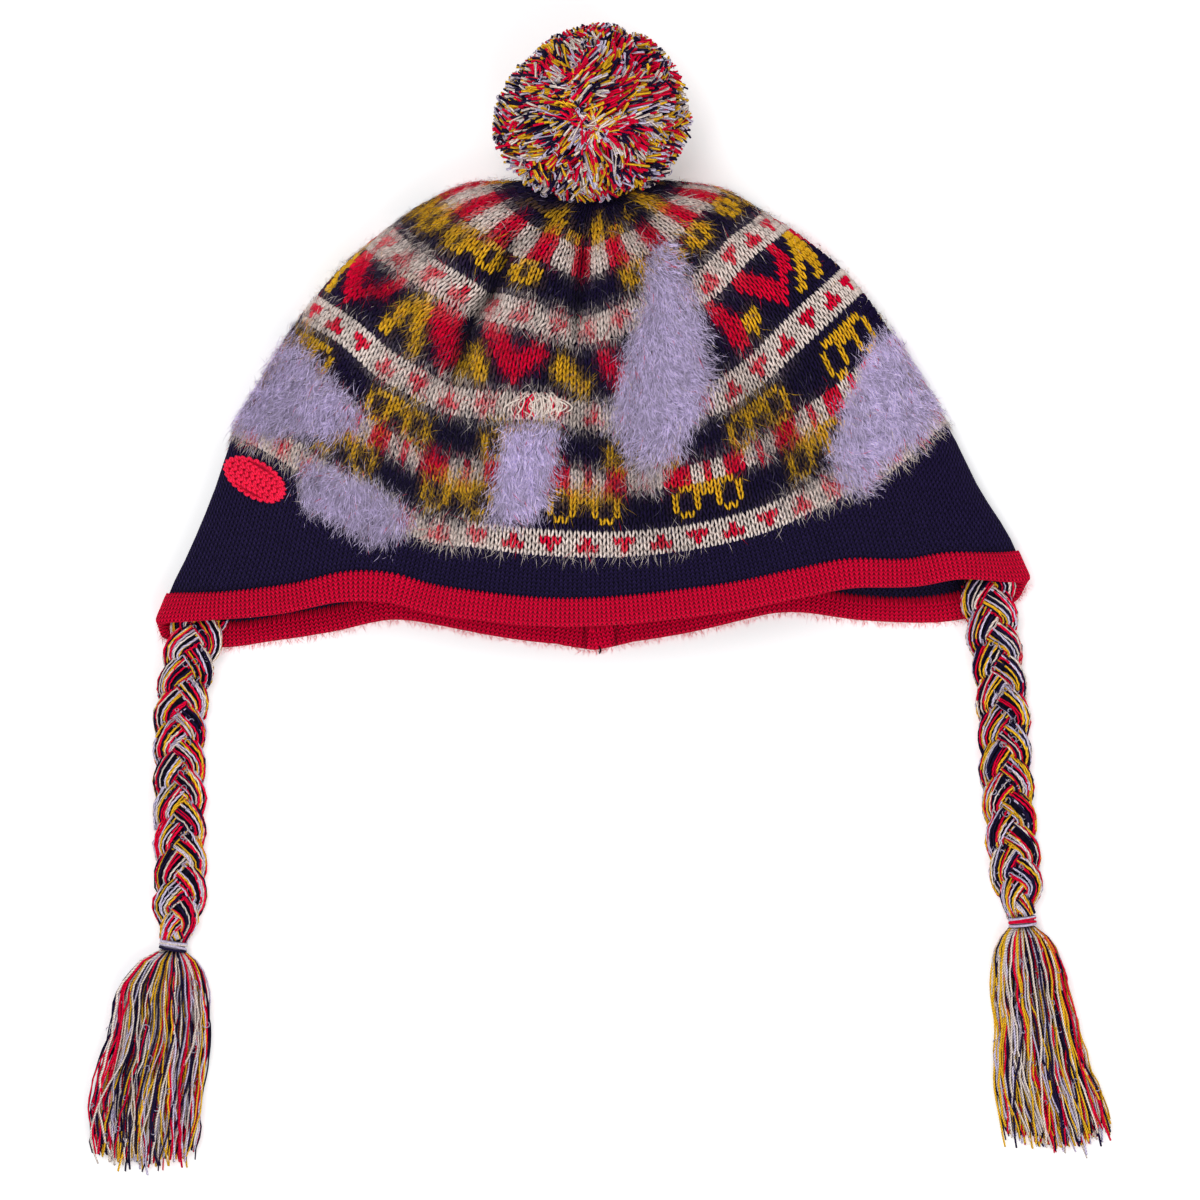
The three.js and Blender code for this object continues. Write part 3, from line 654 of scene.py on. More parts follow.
# Larger motifs, which the folds and the brushing space unevenly: lines from the lowest row up, the
# first row, and the wales of their middles.
placedMotifs = [
    {"lines": ["gg...gg", "gg...gg", ".gg.gg.", ".gg.gg.", ".ggggg.", "..ggg..", "...g..."], "row": 24,
     "wales": [-79, -62, -45, -28, 56, 73]},
    {"lines": ["gg..gg.....", ".gg..gg....", "..gg.ggg...", "...ggggg...", "....ggggg..", ".....gggg..",
               "......ggg.."], "row": 24, "wales": [39]},
    {"lines": ["gg.gg", "ggggg", ".ggg.", "..g.."], "row": 24, "wales": [-17]},
    {"lines": ["....ggg", "..ggggg", ".gggg..", "..ggg..", "..gg..."], "row": 24, "wales": [-4]},
    {"lines": ["..g.", ".ggg", "gggg"], "row": 24, "wales": [25]},
    {"lines": [".....r.....", "....rrr....", "...rrrrr...", "..rrrr.rrr.", ".rrrr...rrr", "rrrr.....rr",
               "rrr......rr"], "row": 24, "wales": [-71, -54, -38, 31, 48, 65, 82]},
    {"lines": [".....r.", "....rrr", "...rrrr", "..rrrr.", ".rrrrr.", "rrrrr..", "rrrrr.."], "row": 24,
     "wales": [-23]},
    {"lines": ["......r....", ".....rrr...", "....rrrrr..", "...rrrrrrr.", "..rrrr.rrrr", ".rrrr...rr.",
               "rrrr......."], "row": 24, "wales": [-12]},
    {"lines": ["...rrr...", "..rrrrr..", ".rrrrrrr.", ".rrr.rrr.", "rrr...rrr", "rr.....rr"], "row": 24,
     "wales": [5]},
    {"lines": ["..rr", ".rrr", ".rrr", ".rrr", "rrr.", "rrr.", "rr.."], "row": 24, "wales": [22]},
    {"lines": [".ggg.", "gg.gg", "gg.gg", ".ggg."], "row": 37,
     "wales": [-51, -45, -33, -28, -22, -17, -11, 7, 13, 19, 27, 33, 45, 51]},
    {"lines": ["ggg", "ggg"], "row": 46, "wales": [-26, -8, 1, 15, 30]},
    {"lines": ["g.g", "ggg", ".g."], "row": 46, "wales": [-4, 5]},
    {"lines": ["gg", "gg", ".g"], "row": 48, "wales": [-16, -5, 1, 9, 18]},
]


def chartColours(row, wale):
    # the yarn's colour for each stitch
    codes = ".rcg"
    yarns = np.array([palette[name] for name in ("navy", "red", "ecru", "gold")])
    row = np.clip(row, 0, knit["rows"] + 1)
    found = 0 * (row + wale)
    for firstRow, firstWale, lines in chart:
        for k, line in enumerate(lines):
            here = row == firstRow + k
            codesOfLine = np.array([codes.index(c) for c in line])
            found[here] = codesOfLine[(wale[here] - firstWale) % len(line)]
    for motif in placedMotifs:
        lines = np.array([[codes.index(c) for c in line] for line in motif["lines"]])
        up = row - motif["row"]
        for middle in motif["wales"]:
            aside = wale - middle + lines.shape[1] // 2
            inside = (up >= 0) & (up < len(lines)) & (aside >= 0) & (aside < lines.shape[1])
            drawn = lines[np.clip(up, 0, len(lines) - 1), np.clip(aside, 0, lines.shape[1] - 1)]
            found = np.where(inside & (drawn > 0), drawn, found)
    return yarns[found]


def smearedColours(row, wale):
    # the mean of the chart's colours over the rows above and below and the wales beside a stitch
    total, weights = 0, 0
    for up in (-2, -1, 0, 1, 2):
        for aside in (-1, 0, 1):
            weight = math.exp(-((up / 1.5) ** 2) - (aside / 0.85) ** 2)
            total = total + weight * chartColours(row + up, wale + aside)
            weights += weight
    return total / weights


brushing = {
    "most": 0.85,
    "wander": 0.45,
    "patch": 11,  # size of the more and less brushed places
    "spots": [  # places where the stitches stay clear: x, y, half width, half height
        (80, 24, 40, 44), (95, -10, 24, 34), (38, -70, 62, 11), (45, -56, 26, 14), (88, 20, 30, 30),
        (-10, -72, 30, 8), (-88, 0, 16, 13), (-44, 25, 16, 10), (-100, 22, 20, 16),
    ],
}


def wave(x, y, scale, phase):
    # a smooth wandering value between -1 and 1: the mean of three crossed sines
    a = np.sin(x / scale + phase)
    b = np.sin(y / scale * 1.3 + 2 * phase + 0.7 * a)
    c = np.sin((x * 0.6 - y * 0.8) / scale + 3 * phase + b)
    return (a + b + c) / 3


def brushedAmount(x, y):
    # how strongly the wool is brushed: a wandering value, less a flat-topped bump for each clear spot
    amount = brushing["most"] + brushing["wander"] * wave(x, y, brushing["patch"], 0.5)
    for spotX, spotY, wide, high in brushing["spots"]:
        away = ((x - spotX) / wide) ** 2 + ((y - spotY) / high) ** 2
        amount = amount * (1 - 0.9 * np.exp(-(away**2)))
    return np.clip(amount, 0, 1)


def paintedFoldShade(x, y):
    # painted shade deep in a fold: 1 less a share of a Gaussian for each small fold
    shade = 1
    for start, end, depth, width in folds:
        near = np.exp(-((distanceToLine(x, y, start, end) / (0.8 * width)) ** 2))
        shade = shade * (1 - 0.2 * depth * near)
    return shade


leg = {  # points of a stitch's leg, from under its row to the next one
    "along": [-0.6, -0.1, 0.55, 1.15],  # in rows
    "across": [0.04, 0.17, 0.31, 0.37],  # in wales
    "out": [-0.35, 0.35, 0.45, -0.35],
    "wide": [0.52, 0.56],  # half widths and half heights at the two inner points
    "tall": [0.6, 0.64],
    "wobble": 0.04,
    "base": {"front": 0.45, "back": 0.3},  # height over the fabric's middle
    "smear": (0.25, 0.95),  # how much of its neighbours' colours a brushed stitch takes
    "shade": (0.85, 1.12),
}


def stitchLegs(side, random):
    # Every stitch is a V of two legs. A leg runs from the middle of the wale, below its row, to the
    # wale's edge in the next row, thick in its middle and tucked under at both ends.
    stitches = []
    for row in range(knit["rows"]):
        count = int(walesIn(row))
        wales = np.arange(-count // 2, count // 2)
        _, turn = lookUp(row + 0.5 + 0 * wales, wales / (count / 2))
        wales = wales[(np.sin(turn) >= 0) == (side == "front")]
        stitches.append(np.stack([row + 0 * wales, wales, count + 0 * wales]))
    row, wale, count = np.concatenate(stitches, 1)
    colour = chartColours(row, wale)
    reach, turn = lookUp(row + 0.5, wale / (count / 2))
    plan = fabricMiddle(reach, turn)
    brushed = brushedAmount(plan[:, 0], plan[:, 1]) * (np.sin(turn) > 0)
    share = (brushed * random.uniform(*leg["smear"], len(row)))[:, None]
    colour = colour * (1 - share) + smearedColours(row, wale) * share
    # a random shade for each stitch, times painted shade deep in the small folds
    colour = colour * (random.uniform(*leg["shade"], len(row)) * paintedFoldShade(plan[:, 0], plan[:, 1]))[:, None]
    scale = np.clip(np.interp(row, rowsOfGrid, roundLength) / count / knit["wale"], 0.45, 1.15)[:, None]
    out = leg["base"][side] + np.array(leg["out"])
    parts = []
    for hand in (-1, 1):
        jitter = random.normal(0, leg["wobble"], (len(row), 4))
        rows = row[:, None] + np.array(leg["along"]) + jitter
        shares = (wale[:, None] + np.array(leg["across"]) * hand + 0.5 * jitter) / (count[:, None] / 2)
        point, normal, _, _ = fabricFrame(*lookUp(rows, shares))
        parts.append(strands(point + normal * out[:, None], normal[:, 1:-1], np.array(leg["wide"]) * scale, 3,
                             colour, 0.02, np.array(leg["tall"]) * (0.6 + 0.4 * scale)))
    return joined(parts)


def ringSheet(points, colour, yarnUv=None):
    # a band closed round the cap, from a grid of points: columns round the cap x corners of its section
    columns, corners, _ = points.shape
    faces, cells = gridFaces(columns, corners, closedRows=True)
    uv = cells[..., ::-1] / np.array([columns, corners])
    return sheetPart(points.reshape(-1, 3), faces, uv, colour, yarnUv and yarnUv(cells))


backing = {
    "columns": 168,
    "shares": [0.03, 0.05, 0.08, 0.12, 0.16, 0.2, 0.25, 0.3, 0.35, 0.4, 0.46, 0.52, 0.58, 0.64, 0.7, 0.76,
               0.82, 0.88, 0.94, 1],  # of the crown's reach
    "outer": 0.25,  # places of its two faces, out from the fabric's middle
    "inner": -1.1,
}


def crownShell():
    # the backing behind the stitches: the wall of the crown as one closed ring
    turns = np.radians(np.linspace(0, 360, backing["columns"], endpoint=False))
    reach = np.array(backing["shares"]) * crownReach(turns)[:, None]
    outer, inner = (fabricPoint(reach, turns[:, None], backing[face]) for face in ("outer", "inner"))
    points = np.concatenate([outer, inner[:, ::-1]], 1)
    # the outer face, seen between the stitches, is darker than the navy yarn: painted shade between the
    # stitches
    colours = np.repeat([palette["darkNavy"], palette["navy"]], reach.shape[1], axis=0) + 0 * points
    return ringSheet(points, colours.reshape(-1, 3))


random = np.random.default_rng(knit["seed"])
addPiece("crownBacking", crownShell(), wool["shell"], ["crown"])
addPiece("frontStitches", stitchLegs("front", random), wool["stitch"])
addPiece("backStitches", stitchLegs("back", random), wool["stitch"])


ribs = {
    "pitch": 1.7,
    "columns": 4,  # points across a rib
    "depth": 0.3,
    "rowHeight": 1.5,
}
band = {  # section from the knitting down to the border
    "shares": [0, 0, 0.05, 0.15, 0.3, 0.45, 0.6, 0.75, 0.88, 1, 1],  # of the way down, outside
    "out": [-1.2, 0.45, 0.72, 0.72, 0.72, 0.72, 0.72, 0.72, 0.72, 0.5, -1.2],
    "inside": [0.66, 0.33],
    "insideOut": -1.1,
    "insideRibs": 0.5,  # their depth, as a share of that outside
    "under": (1.2, 0.6),  # how far it runs on under the knitting and under the border
}
hem = {
    "profile": [  # distance in from the edge and out from the middle, round the border's section
        (9, -0.6), (9, 1.2), (8.6, 1.36), (7.4, 1.4), (5, 1.35), (3, 1.4), (1.4, 1.3), (0.5, 0.85),
        (0.1, 0.1), (0.4, -0.8), (1.4, -1.35), (3.6, -1.5), (6.4, -1.45), (8.4, -1.3)],
    "ribs": [0, 1.1, 1, 1, 1, 1, 1, 0.9, 0.6, 0.8, 0.8, 0.8, 0.8, 0.4],  # share of their depth there
    "depth": 0.45,
    "teeth": 1.3,  # how far the border's ribs reach into the band
    "fade": 30,  # how far from a fold the ribs start to turn square to the edge
    "seam": (2, 5.7, 0.7),  # middle, half width and height of the seam on the lower layer
    "paintedLightAndShade": (0.18, 0.3, 0.75),  # painted light on the lower layer and on the seam, painted shade beside the seam
    "tail": [(1.6, -113.8, 3.6), (1.9, -114.6, 3.3), (2.1, -115.5, 2.7), (1.8, -116.3, 2), (1.4, -117, 1.5)],
    "tailRadius": 0.4,  # of the thread that joins the seam
}


def evenTurns(reachAt, pitch, columns):
    # turns at equal lengths round the cap, a whole number of ribs in all
    turns = np.radians(np.linspace(-90, 270, grid["edges"]))
    length = lengthAlong(fabricPoint(reachAt(turns), turns, grid["out"]))
    count = int(round(length[-1] / pitch))
    places = np.arange(count * columns) / (count * columns) * length[-1]
    return np.interp(places, length, turns), np.arange(count * columns) / columns


def ribShape(rib, depth):
    # a rounded rib: depth x (1 - |2 f - 1|^2.2), with f the fraction of the rib
    f = rib % 1
    return depth * (1 - np.abs(2 * f - 1) ** 2.2)


def earBand():
    # a closed section of the wall, with ribs outside and flatter ones inside, half a rib farther round
    turns, rib = evenTurns(lambda t: (knitEdge(t) + mouthEdge(t)) / 2, ribs["pitch"], ribs["columns"])
    shares, out, inside = (np.array(band[name]) for name in ("shares", "out", "inside"))
    underKnit, underBorder = band["under"]
    start = knitEdge(turns)[:, None] - underKnit
    end = mouthEdge(turns)[:, None] - cap["borderHeight"] + underBorder
    relief = ribShape(rib, ribs["depth"])[:, None] * (out > 0)
    outer = fabricPoint(start + shares * (end - start), turns[:, None], out + relief)
    back = band["insideOut"] - band["insideRibs"] * ribShape(rib + 0.5, ribs["depth"])[:, None]
    inner = fabricPoint(start + inside * (end - start), turns[:, None], back + 0 * inside)
    points = np.concatenate([outer, inner], 1)
    height = (end - start)[:, 0]
    sections = points.shape[1]
    shareOf = np.concatenate([shares, inside, [0]])

    def ribMap(cells):
        column = cells[..., 1]
        corner = cells[..., 0].astype(int)
        rows = height[column.astype(int) % len(turns)] * (1 - shareOf[np.minimum(corner, sections)])
        return np.stack([column / ribs["columns"], rows / ribs["rowHeight"]], -1)

    return ringSheet(points, palette["navy"], ribMap)


def edgeSlide(turns):
    # The turn by which a rib moves over for each millimetre in from the mouth's edge, to stand square
    # to it: less the part of the inward direction that lies along the edge, over the edge's length
    # for each radian. It fades out towards a fold.
    step = 0.01
    edge = fabricPoint(mouthEdge(turns), turns, 0)
    after = fabricPoint(mouthEdge(turns + step), turns + step, 0)
    alongEdge = (after - edge) / step
    inward = unit(fabricPoint(mouthEdge(turns) - 1, turns, 0) - edge)
    places = np.arange(len(turns)) * ribs["pitch"] / ribs["columns"]
    fromFold = np.min([np.abs(places - np.interp(fold, turns, places)) for fold in (0, np.pi)], axis=0)
    return -(inward * alongEdge).sum(-1) / (alongEdge**2).sum(-1) * smoothStep(fromFold, 0, hem["fade"])


def border():
    # ribs round the section of a rolled edge, whose inner ends are teeth over the band
    turns, rib = evenTurns(lambda t: mouthEdge(t) - 5, ribs["pitch"], ribs["columns"])
    profile = np.array(hem["profile"])
    profile[:, 0] *= cap["borderHeight"] / profile[:, 0].max()
    relief = ribShape(rib, hem["depth"])[:, None] * np.array(hem["ribs"])
    teeth = hem["teeth"] * (1 - np.abs(2 * (rib % 1) - 1))[:, None] * (profile[:, 0] > 8)
    slid = turns[:, None] + edgeSlide(turns)[:, None] * profile[:, 0]
    reach = mouthEdge(slid) - profile[:, 0] - teeth
    sign = np.where(profile[:, 1] >= 0, 1, -1)
    points = fabricPoint(reach, slid, profile[:, 1] + sign * relief)
    middle, half, height = hem["seam"]
    x = points[..., 0]
    seam = height * np.exp(-(((x - middle) / half) ** 6)) * (points[..., 1] < -60) * (profile[:, 1] < 0)
    points[..., 2] += (np.sin(turns) < 0)[:, None] * seam
    # painted light that lifts the lower layer and the seam out of the upper layer's shadow, and painted shade
    # along the seam's sides
    lower, seamPaintedLight, seamSidePaintedShade = hem["paintedLightAndShade"]
    beside = np.exp(-(((np.abs(x - middle) - half) / 0.8) ** 2)) * (points[..., 1] < -60)
    paintedLightAndShade = 1 + (np.sin(turns) < 0)[:, None] * (lower + seamPaintedLight * seam / height - seamSidePaintedShade * beside)
    along = lengthAlong(profile)
    along = np.append(along, along[-1] + 1)

    def ribMap(cells):
        corner = cells[..., 0].astype(int)
        shift = teeth[cells[..., 1].astype(int) % len(turns), corner % len(profile)]
        return np.stack([cells[..., 1] / ribs["columns"], (along[corner] - shift) / ribs["rowHeight"]], -1)

    sheet = ringSheet(points, (palette["red"] * paintedLightAndShade[..., None]).reshape(-1, 3), ribMap)
    tail = strands(np.array([hem["tail"]]), upright, hem["tailRadius"], 5, palette["darkNavy"])
    return joined([sheet, tail])


addPiece("ribbedBand", earBand(), wool["navyRib"], ["ear_band"])
addPiece("redBorder", border(), wool["redRib"], ["border"])


pilePatches = {  # outlines in the plan, which may run past the silhouette to go round the fold
    "pileLeft": [
        [(-111.5, 6), (-121, -2), (-127.5, -14), (-134.5, -26.5), (-137.5, -36), (-129.5, -37.5),
         (-124.5, -37.5), (-116, -38), (-107.5, -37.5), (-95.5, -39), (-89.5, -36), (-83.5, -31.5),
         (-85, -24), (-91, -19), (-95.5, -14), (-101.5, -6.5), (-106, -1.5), (-109, 4)],
        [(-108, -44), (-100, -43.5), (-92.5, -48.5), (-85, -51), (-74, -57), (-66, -63.5), (-66, -68.5),
         (-70.5, -73), (-77.5, -77.5), (-83.5, -74.5), (-91, -71.5), (-98.5, -67), (-104.5, -63.5),
         (-109, -59), (-109.5, -52.5), (-109, -48)]],
    "pileWedge": [
        [(25, 36.5), (28, 35), (31.5, 30), (34.5, 20), (39.5, 10), (42, -5), (43.5, -15.5), (40.5, -26.5),
         (35, -37.5), (31.5, -43.5), (26, -48.5), (22.5, -56), (17.5, -55.5), (14, -48), (10, -41.5),
         (4, -33), (5, -25), (7, -15.5), (10, -5), (13, 4), (17, 14), (17.5, 28.5), (21, 35.5)]],
    "pileSpot": [
        [(-34, -31.5), (-24, -30), (-12, -31), (-11.5, -37.5), (-14.5, -52.5), (-18.5, -64), (-25, -68),
         (-33.5, -68.5), (-40, -67), (-39, -56), (-36.5, -41.5)]],
    "pileRight": [
        [(102.5, 3), (110, 7.5), (118, -0.5), (124.5, -10), (131.5, -23), (132, -28.5), (126, -31.5),
         (119, -38.5), (110, -44), (105.5, -48), (102.5, -55.5), (95, -58.5), (89, -56), (85, -50),
         (84.5, -41.5), (87.5, -32.5), (90.5, -22), (95, -14.5), (98, -5.5)]],
}
pile = {
    "height": 1.5,  # of the padded ground under the hairs
    "ground": (-0.6, 0.2, 0.3),  # heights of its underside, its skirt and the foot of its crown
    "rings": [0.9, 0.94, 0.9, 0.82, 0.7, 0.55, 0.38, 0.2],  # as shares of the way out
    "around": 56,  # points round it
    # the ground is darker than the hairs: painted shade under them
    "groundPaintedShade": 0.66,
    "hairsPerSquare": 4.8,  # hairs on a square millimetre
    "length": 7,
    "width": 0.1,
    "edge": 6,  # how far in from the outline the hairs have their full length
    "lengths": (0.4, 1.2),  # shares of the length and the width that hairs have
    "widths": (0.7, 1.25),
    "atEdge": (0.25, 0.6),  # shares of their length and width at the outline
    "lean": (0.06, 0.26),  # how far a hair stands up, as a share of its length
    "heading": 0.6,  # how far the lie of the hairs wanders, in radians
    "backwards": 0.14,  # share of the hairs that lie the other way
    "shade": (0.62, 1.25),
    "odd": (0.16, 0.012),  # share of hairs in other colours at the edge and inside
    "ragged": (1.6, 1.9),  # how far the edge wanders, and its scatter
    "creamEnd": (40, 50),  # how far below the middle the wedge turns cream
    "colour": (230, 214, 252),
    "brighter": {"pileLeft": (1, 0.93), "pileWedge": (1,), "pileSpot": (1.12,), "pileRight": (1.05,)},
    "seed": 11,
}


def acrossAt(x, y):
    # reach and across of a point of the plan, where across may pass 1 beyond the silhouette
    gatherX, gatherY, _ = cap["gather"]
    reach = np.hypot(x - gatherX, y - gatherY)
    angle = np.arctan2(x - gatherX, gatherY - y)
    return reach, np.clip(angle / foldAngle(np.sign(angle), reach), -1.03, 1.03)


def onCap(x, y):
    # reach and turn of a point of the plan, on the upper layer
    reach, across = acrossAt(x, y)
    return reach, np.arccos(np.clip(across, -0.999, 0.999))


def insideBy(x, y, corners):
    # distance to the nearest side of a closed outline, positive inside it
    corners = np.array(corners, float)
    after = np.roll(corners, -1, axis=0)
    nearest = np.full(np.shape(x), 1e9)
    crossings = np.zeros(np.shape(x), int)
    for start, end in zip(corners, after):
        nearest = np.minimum(nearest, distanceToLine(x, y, start, end))
        spans = (start[1] > y) != (end[1] > y)
        edge = start[0] + (y - start[1]) / (end[1] - start[1] + 1e-12) * (end[0] - start[0])
        crossings = crossings + (spans & (x < edge))
    return np.where(crossings % 2 == 1, nearest, -nearest)


def pileGround(corners):
    # A low cushion: rings drawn in from the outline to its middle, at height x (1 - s^4) for a ring at
    # share s of the way out, closed underneath.
    corners = np.array(corners, float)
    keys = np.arange(len(corners) + 5) - 2
    at = np.linspace(0, len(corners), pile["around"], endpoint=False)
    edge = np.stack([readTable(keys, corners[keys % len(corners), k], at) for k in range(2)], -1)
    middle = edge.mean(0)
    shares = np.array(pile["rings"])
    under, skirt, foot = pile["ground"]
    outs = np.concatenate([[under, skirt], foot + pile["height"] * (1 - shares[2:] ** 4)])
    rings = middle + shares[:, None, None] * (edge - middle)

    def onFabric(plan, out):
        reach, across = acrossAt(plan[..., 0], plan[..., 1])
        return fabricPoint(reach, turnAt(across), out)

    # the ground is the pile's colour darkened, painted shade under the hairs
    colour = linearColour(pile["colour"]) * pile["groundPaintedShade"]
    return closedRounds(onFabric(rings, outs[:, None]), onFabric(middle, under),
                        onFabric(middle, foot + pile["height"]), colour)


def hairs(reach, turn, out, length, lean, heading, width, colours, random, curl=0.6):
    # Thin curved fibres from a root at a height over the fabric. The middle is root + (0.5 along +
    # 0.12 bend aside + lean up) x length, and the tip is root + (along + 0.35 bend aside + 1.1 lean
    # up) x length, with along the direction of the heading and bend a random number.
    point, normal, down, around = fabricFrame(reach, turn)
    along = np.cos(heading)[:, None] * down + np.sin(heading)[:, None] * around
    aside = np.cross(normal, along)
    bend = random.normal(0, curl, len(reach))[:, None]
    root = point + normal * out[:, None]
    middle = root + (along * 0.5 + aside * bend * 0.12 + normal * lean[:, None]) * length[:, None]
    tip = root + (along + aside * bend * 0.35 + normal * lean[:, None] * 1.1) * length[:, None]
    path = aboveGround(np.stack([root, middle, tip], 1), 0.25)
    return strands(path, normal[:, None], width[:, None], 3, colours)


def patchHairs(corners, random, fade=None):
    # Hairs all over an outline, shorter and lower towards a ragged edge. A fade is the range of
    # distances below the middle in which they turn cream.
    corners = np.array(corners, float)
    low = corners.min(0) - 5
    high = corners.max(0) + 5
    tries = int(pile["hairsPerSquare"] * np.prod(high - low))
    x, y = random.uniform(low[:, None], high[:, None], (2, tries))
    wander, scatter = pile["ragged"]
    inside = insideBy(x, y, corners) + wander * wave(x, y, 1.7, 0.6) + random.normal(0, scatter, tries)
    reach, across = acrossAt(x, y)
    keep = (inside > 0) & (np.abs(across) < 1.029)
    x, y, inside, reach, across = x[keep], y[keep], inside[keep], reach[keep], across[keep]
    turn = turnAt(across)
    n = len(x)
    heading = pile["heading"] * (wave(x, y, 9, 0.4) + wave(x, y, 3, 2)) + random.normal(0, 0.3, n)
    heading = heading + np.pi * (random.uniform(0, 1, n) < pile["backwards"])
    grown = np.clip(inside / pile["edge"], 0, 1)
    short, thin = pile["atEdge"]
    length = pile["length"] * random.uniform(*pile["lengths"], n) * (short + (1 - short) * grown)
    lean = random.uniform(*pile["lean"], n)
    out = 0.5 + (pile["height"] - 0.2) * grown
    shade = random.uniform(*pile["shade"], n) + 0.12 * wave(x, y, 4, 1.2) + 0.18 * wave(x, y, 1.3, 0.3)
    colours = linearColour(pile["colour"]) * shade[:, None]
    if fade:
        share = smoothStep(-y, *fade)[:, None] * random.uniform(0.5, 1, (n, 1))
        colours = colours * (1 - share) + palette["cream"] * share * 0.95
    atEdge, within = pile["odd"]
    specks = (random.uniform(0, 1, n) < atEdge * np.exp(-inside / 3)) | (random.uniform(0, 1, n) < within)
    odd = np.array([palette[name] for name in ("red", "navy", "cream", "darkNavy")])
    colours[specks] = odd[random.choice(4, n)][specks]
    wide = thin + (1 - thin) * np.clip(inside / 4, 0, 1)
    width = pile["width"] * random.uniform(*pile["widths"], n) * wide
    return hairs(reach, turn, out, length, lean, heading, width, colours, random, 1)


random = np.random.default_rng(pile["seed"])
for name, lobes in pilePatches.items():
    fade = pile["creamEnd"] if name == "pileWedge" else None
    parts = []
    for lobe, brighter in zip(lobes, pile["brighter"][name]):
        for part in (pileGround(lobe), patchHairs(lobe, random, fade)):
            parts.append({**part, "colours": part["colours"] * brighter})
    addPiece(name, joined(parts), wool["pile"], [name.replace("pile", "pile_").lower()])


darning = {
    "middle": (-20.7, -25.5),
    "half": (6, 6),
    "threads": 30,
    "radius": 0.32,
    "slant": 3,
    "bend": 3.2,
    "arch": (0.8, 2),
    "seed": 19,
}


def darnedThreads(random):
    # loose threads over the knitting above the spot, each a shallow arch bent to one side
    n = darning["threads"]
    t = np.linspace(0, 1, 9)[None, :]
    x = darning["middle"][0] + darning["half"][0] * random.uniform(-1, 1, (n, 1))
    arch = np.sin(np.pi * t)
    x = x + random.normal(0, darning["slant"], (n, 1)) * t + random.normal(0, darning["bend"], (n, 1)) * arch
    y = darning["middle"][1] + darning["half"][1] * (1 - 2 * t) * random.uniform(0.5, 1.1, (n, 1))
    reach, turn = onCap(x, y)
    path = fabricPoint(reach, turn, 0.6 + random.uniform(*darning["arch"], (n, 1)) * arch)
    _, normal, _, _ = fabricFrame(reach[:, 1:-1], turn[:, 1:-1])
    yarns = np.array([palette["cream"]] * 9 + [palette["red"]])
    return strands(path, normal, darning["radius"], 5, yarns[random.choice(10, n)] * 0.95)


random = np.random.default_rng(darning["seed"])
addPiece("darnedThreads", darnedThreads(random), wool["stitch"])


fuzz = {
    "brushed": 96000,  # fibres tried on the front
    "rows": 52,
    "share": 0.56,  # of the way from the front's middle to the back seam
    "thinBy": 160,  # reach by which the fibres thin out towards the gather
    "length": (2.8, 7.2),
    "width": (0.05, 0.105),
    "lean": (0, 0.1),
    "heading": (0.35, 0.33),  # wander and scatter of their lie, in radians
    "shade": (0.7, 1.15),
    "pale": 0.07,  # share of grey fibres
    "backwards": 0.35,  # share that lies the other way
    "seed": 21,
}
# Fibres that stand off: spread is in radians about the folds, in and out are about the border's edge.
halo = {"fibres": 1600, "spread": 0.22, "reach": (30, 160), "length": (1.5, 4), "lean": (0.3, 0.8),
        "width": 0.045}
edgeFuzz = {"fibres": 1600, "in": (0.1, 0.8), "out": (-1.3, 1.3), "length": (1.2, 3.6), "lean": (-0.2, 0.3),
            "width": 0.065}


def brushedFibres(random):
    # fibres combed over the stitches, each with the colour of the stitch at its root
    tries = fuzz["brushed"]
    row = random.uniform(0, fuzz["rows"], tries)
    share = random.uniform(-fuzz["share"], fuzz["share"], tries)
    reach, turn = lookUp(row, share)
    keep = random.uniform(0, 1, tries) < reach / fuzz["thinBy"]
    row, share, reach, turn = row[keep], share[keep], reach[keep], turn[keep]
    point = fabricPoint(reach, turn, 0)
    x, y = point[:, 0], point[:, 1]
    keep = random.uniform(0, 1, len(x)) < brushedAmount(x, y)
    row, share, reach, turn, x, y = (v[keep] for v in (row, share, reach, turn, x, y))
    n = len(x)
    count = walesIn(row.astype(int))
    wale = np.round(share * count / 2).astype(int)
    colour = chartColours(row.astype(int), wale) * random.uniform(*fuzz["shade"], n)[:, None]
    pale = random.uniform(0, 1, n) < fuzz["pale"]
    colour[pale] = palette["paleGrey"] * 0.7
    # painted shade deep in the small folds
    colour = colour * paintedFoldShade(x, y)[:, None]
    wander, scatter = fuzz["heading"]
    heading = wander * wave(x, y, 12, 1.7) + random.normal(0, scatter, n)
    heading = heading + np.pi * (random.uniform(0, 1, n) < fuzz["backwards"])
    length = random.uniform(*fuzz["length"], n)
    lean = random.uniform(*fuzz["lean"], n)
    out = random.uniform(0.9, 1.5, n)
    width = random.uniform(*fuzz["width"], n)
    return hairs(reach, turn, out, length, lean, heading, width, colour, random, 1.1)


def haloFibres(random):
    # fibres that stand off along the folds and on the band
    n = halo["fibres"]
    fold = np.where(random.uniform(0, 1, n) < 0.5, 0, np.pi)
    turn = fold + random.normal(0, halo["spread"], n)
    reach = random.uniform(*halo["reach"], n)
    row = np.clip((crownReach(turn) - reach) / knit["row"], 0, 50).astype(int)
    wale = random.integers(-90, 90, n)
    colour = chartColours(row, wale) * 0.9
    colour[reach > 150] = palette["paleGrey"] * 0.7
    heading = random.uniform(0, 2 * np.pi, n)
    length = random.uniform(*halo["length"], n)
    lean = random.uniform(*halo["lean"], n)
    return hairs(reach, turn, np.ones(n), length, lean, heading, np.full(n, halo["width"]), colour, random, 1)


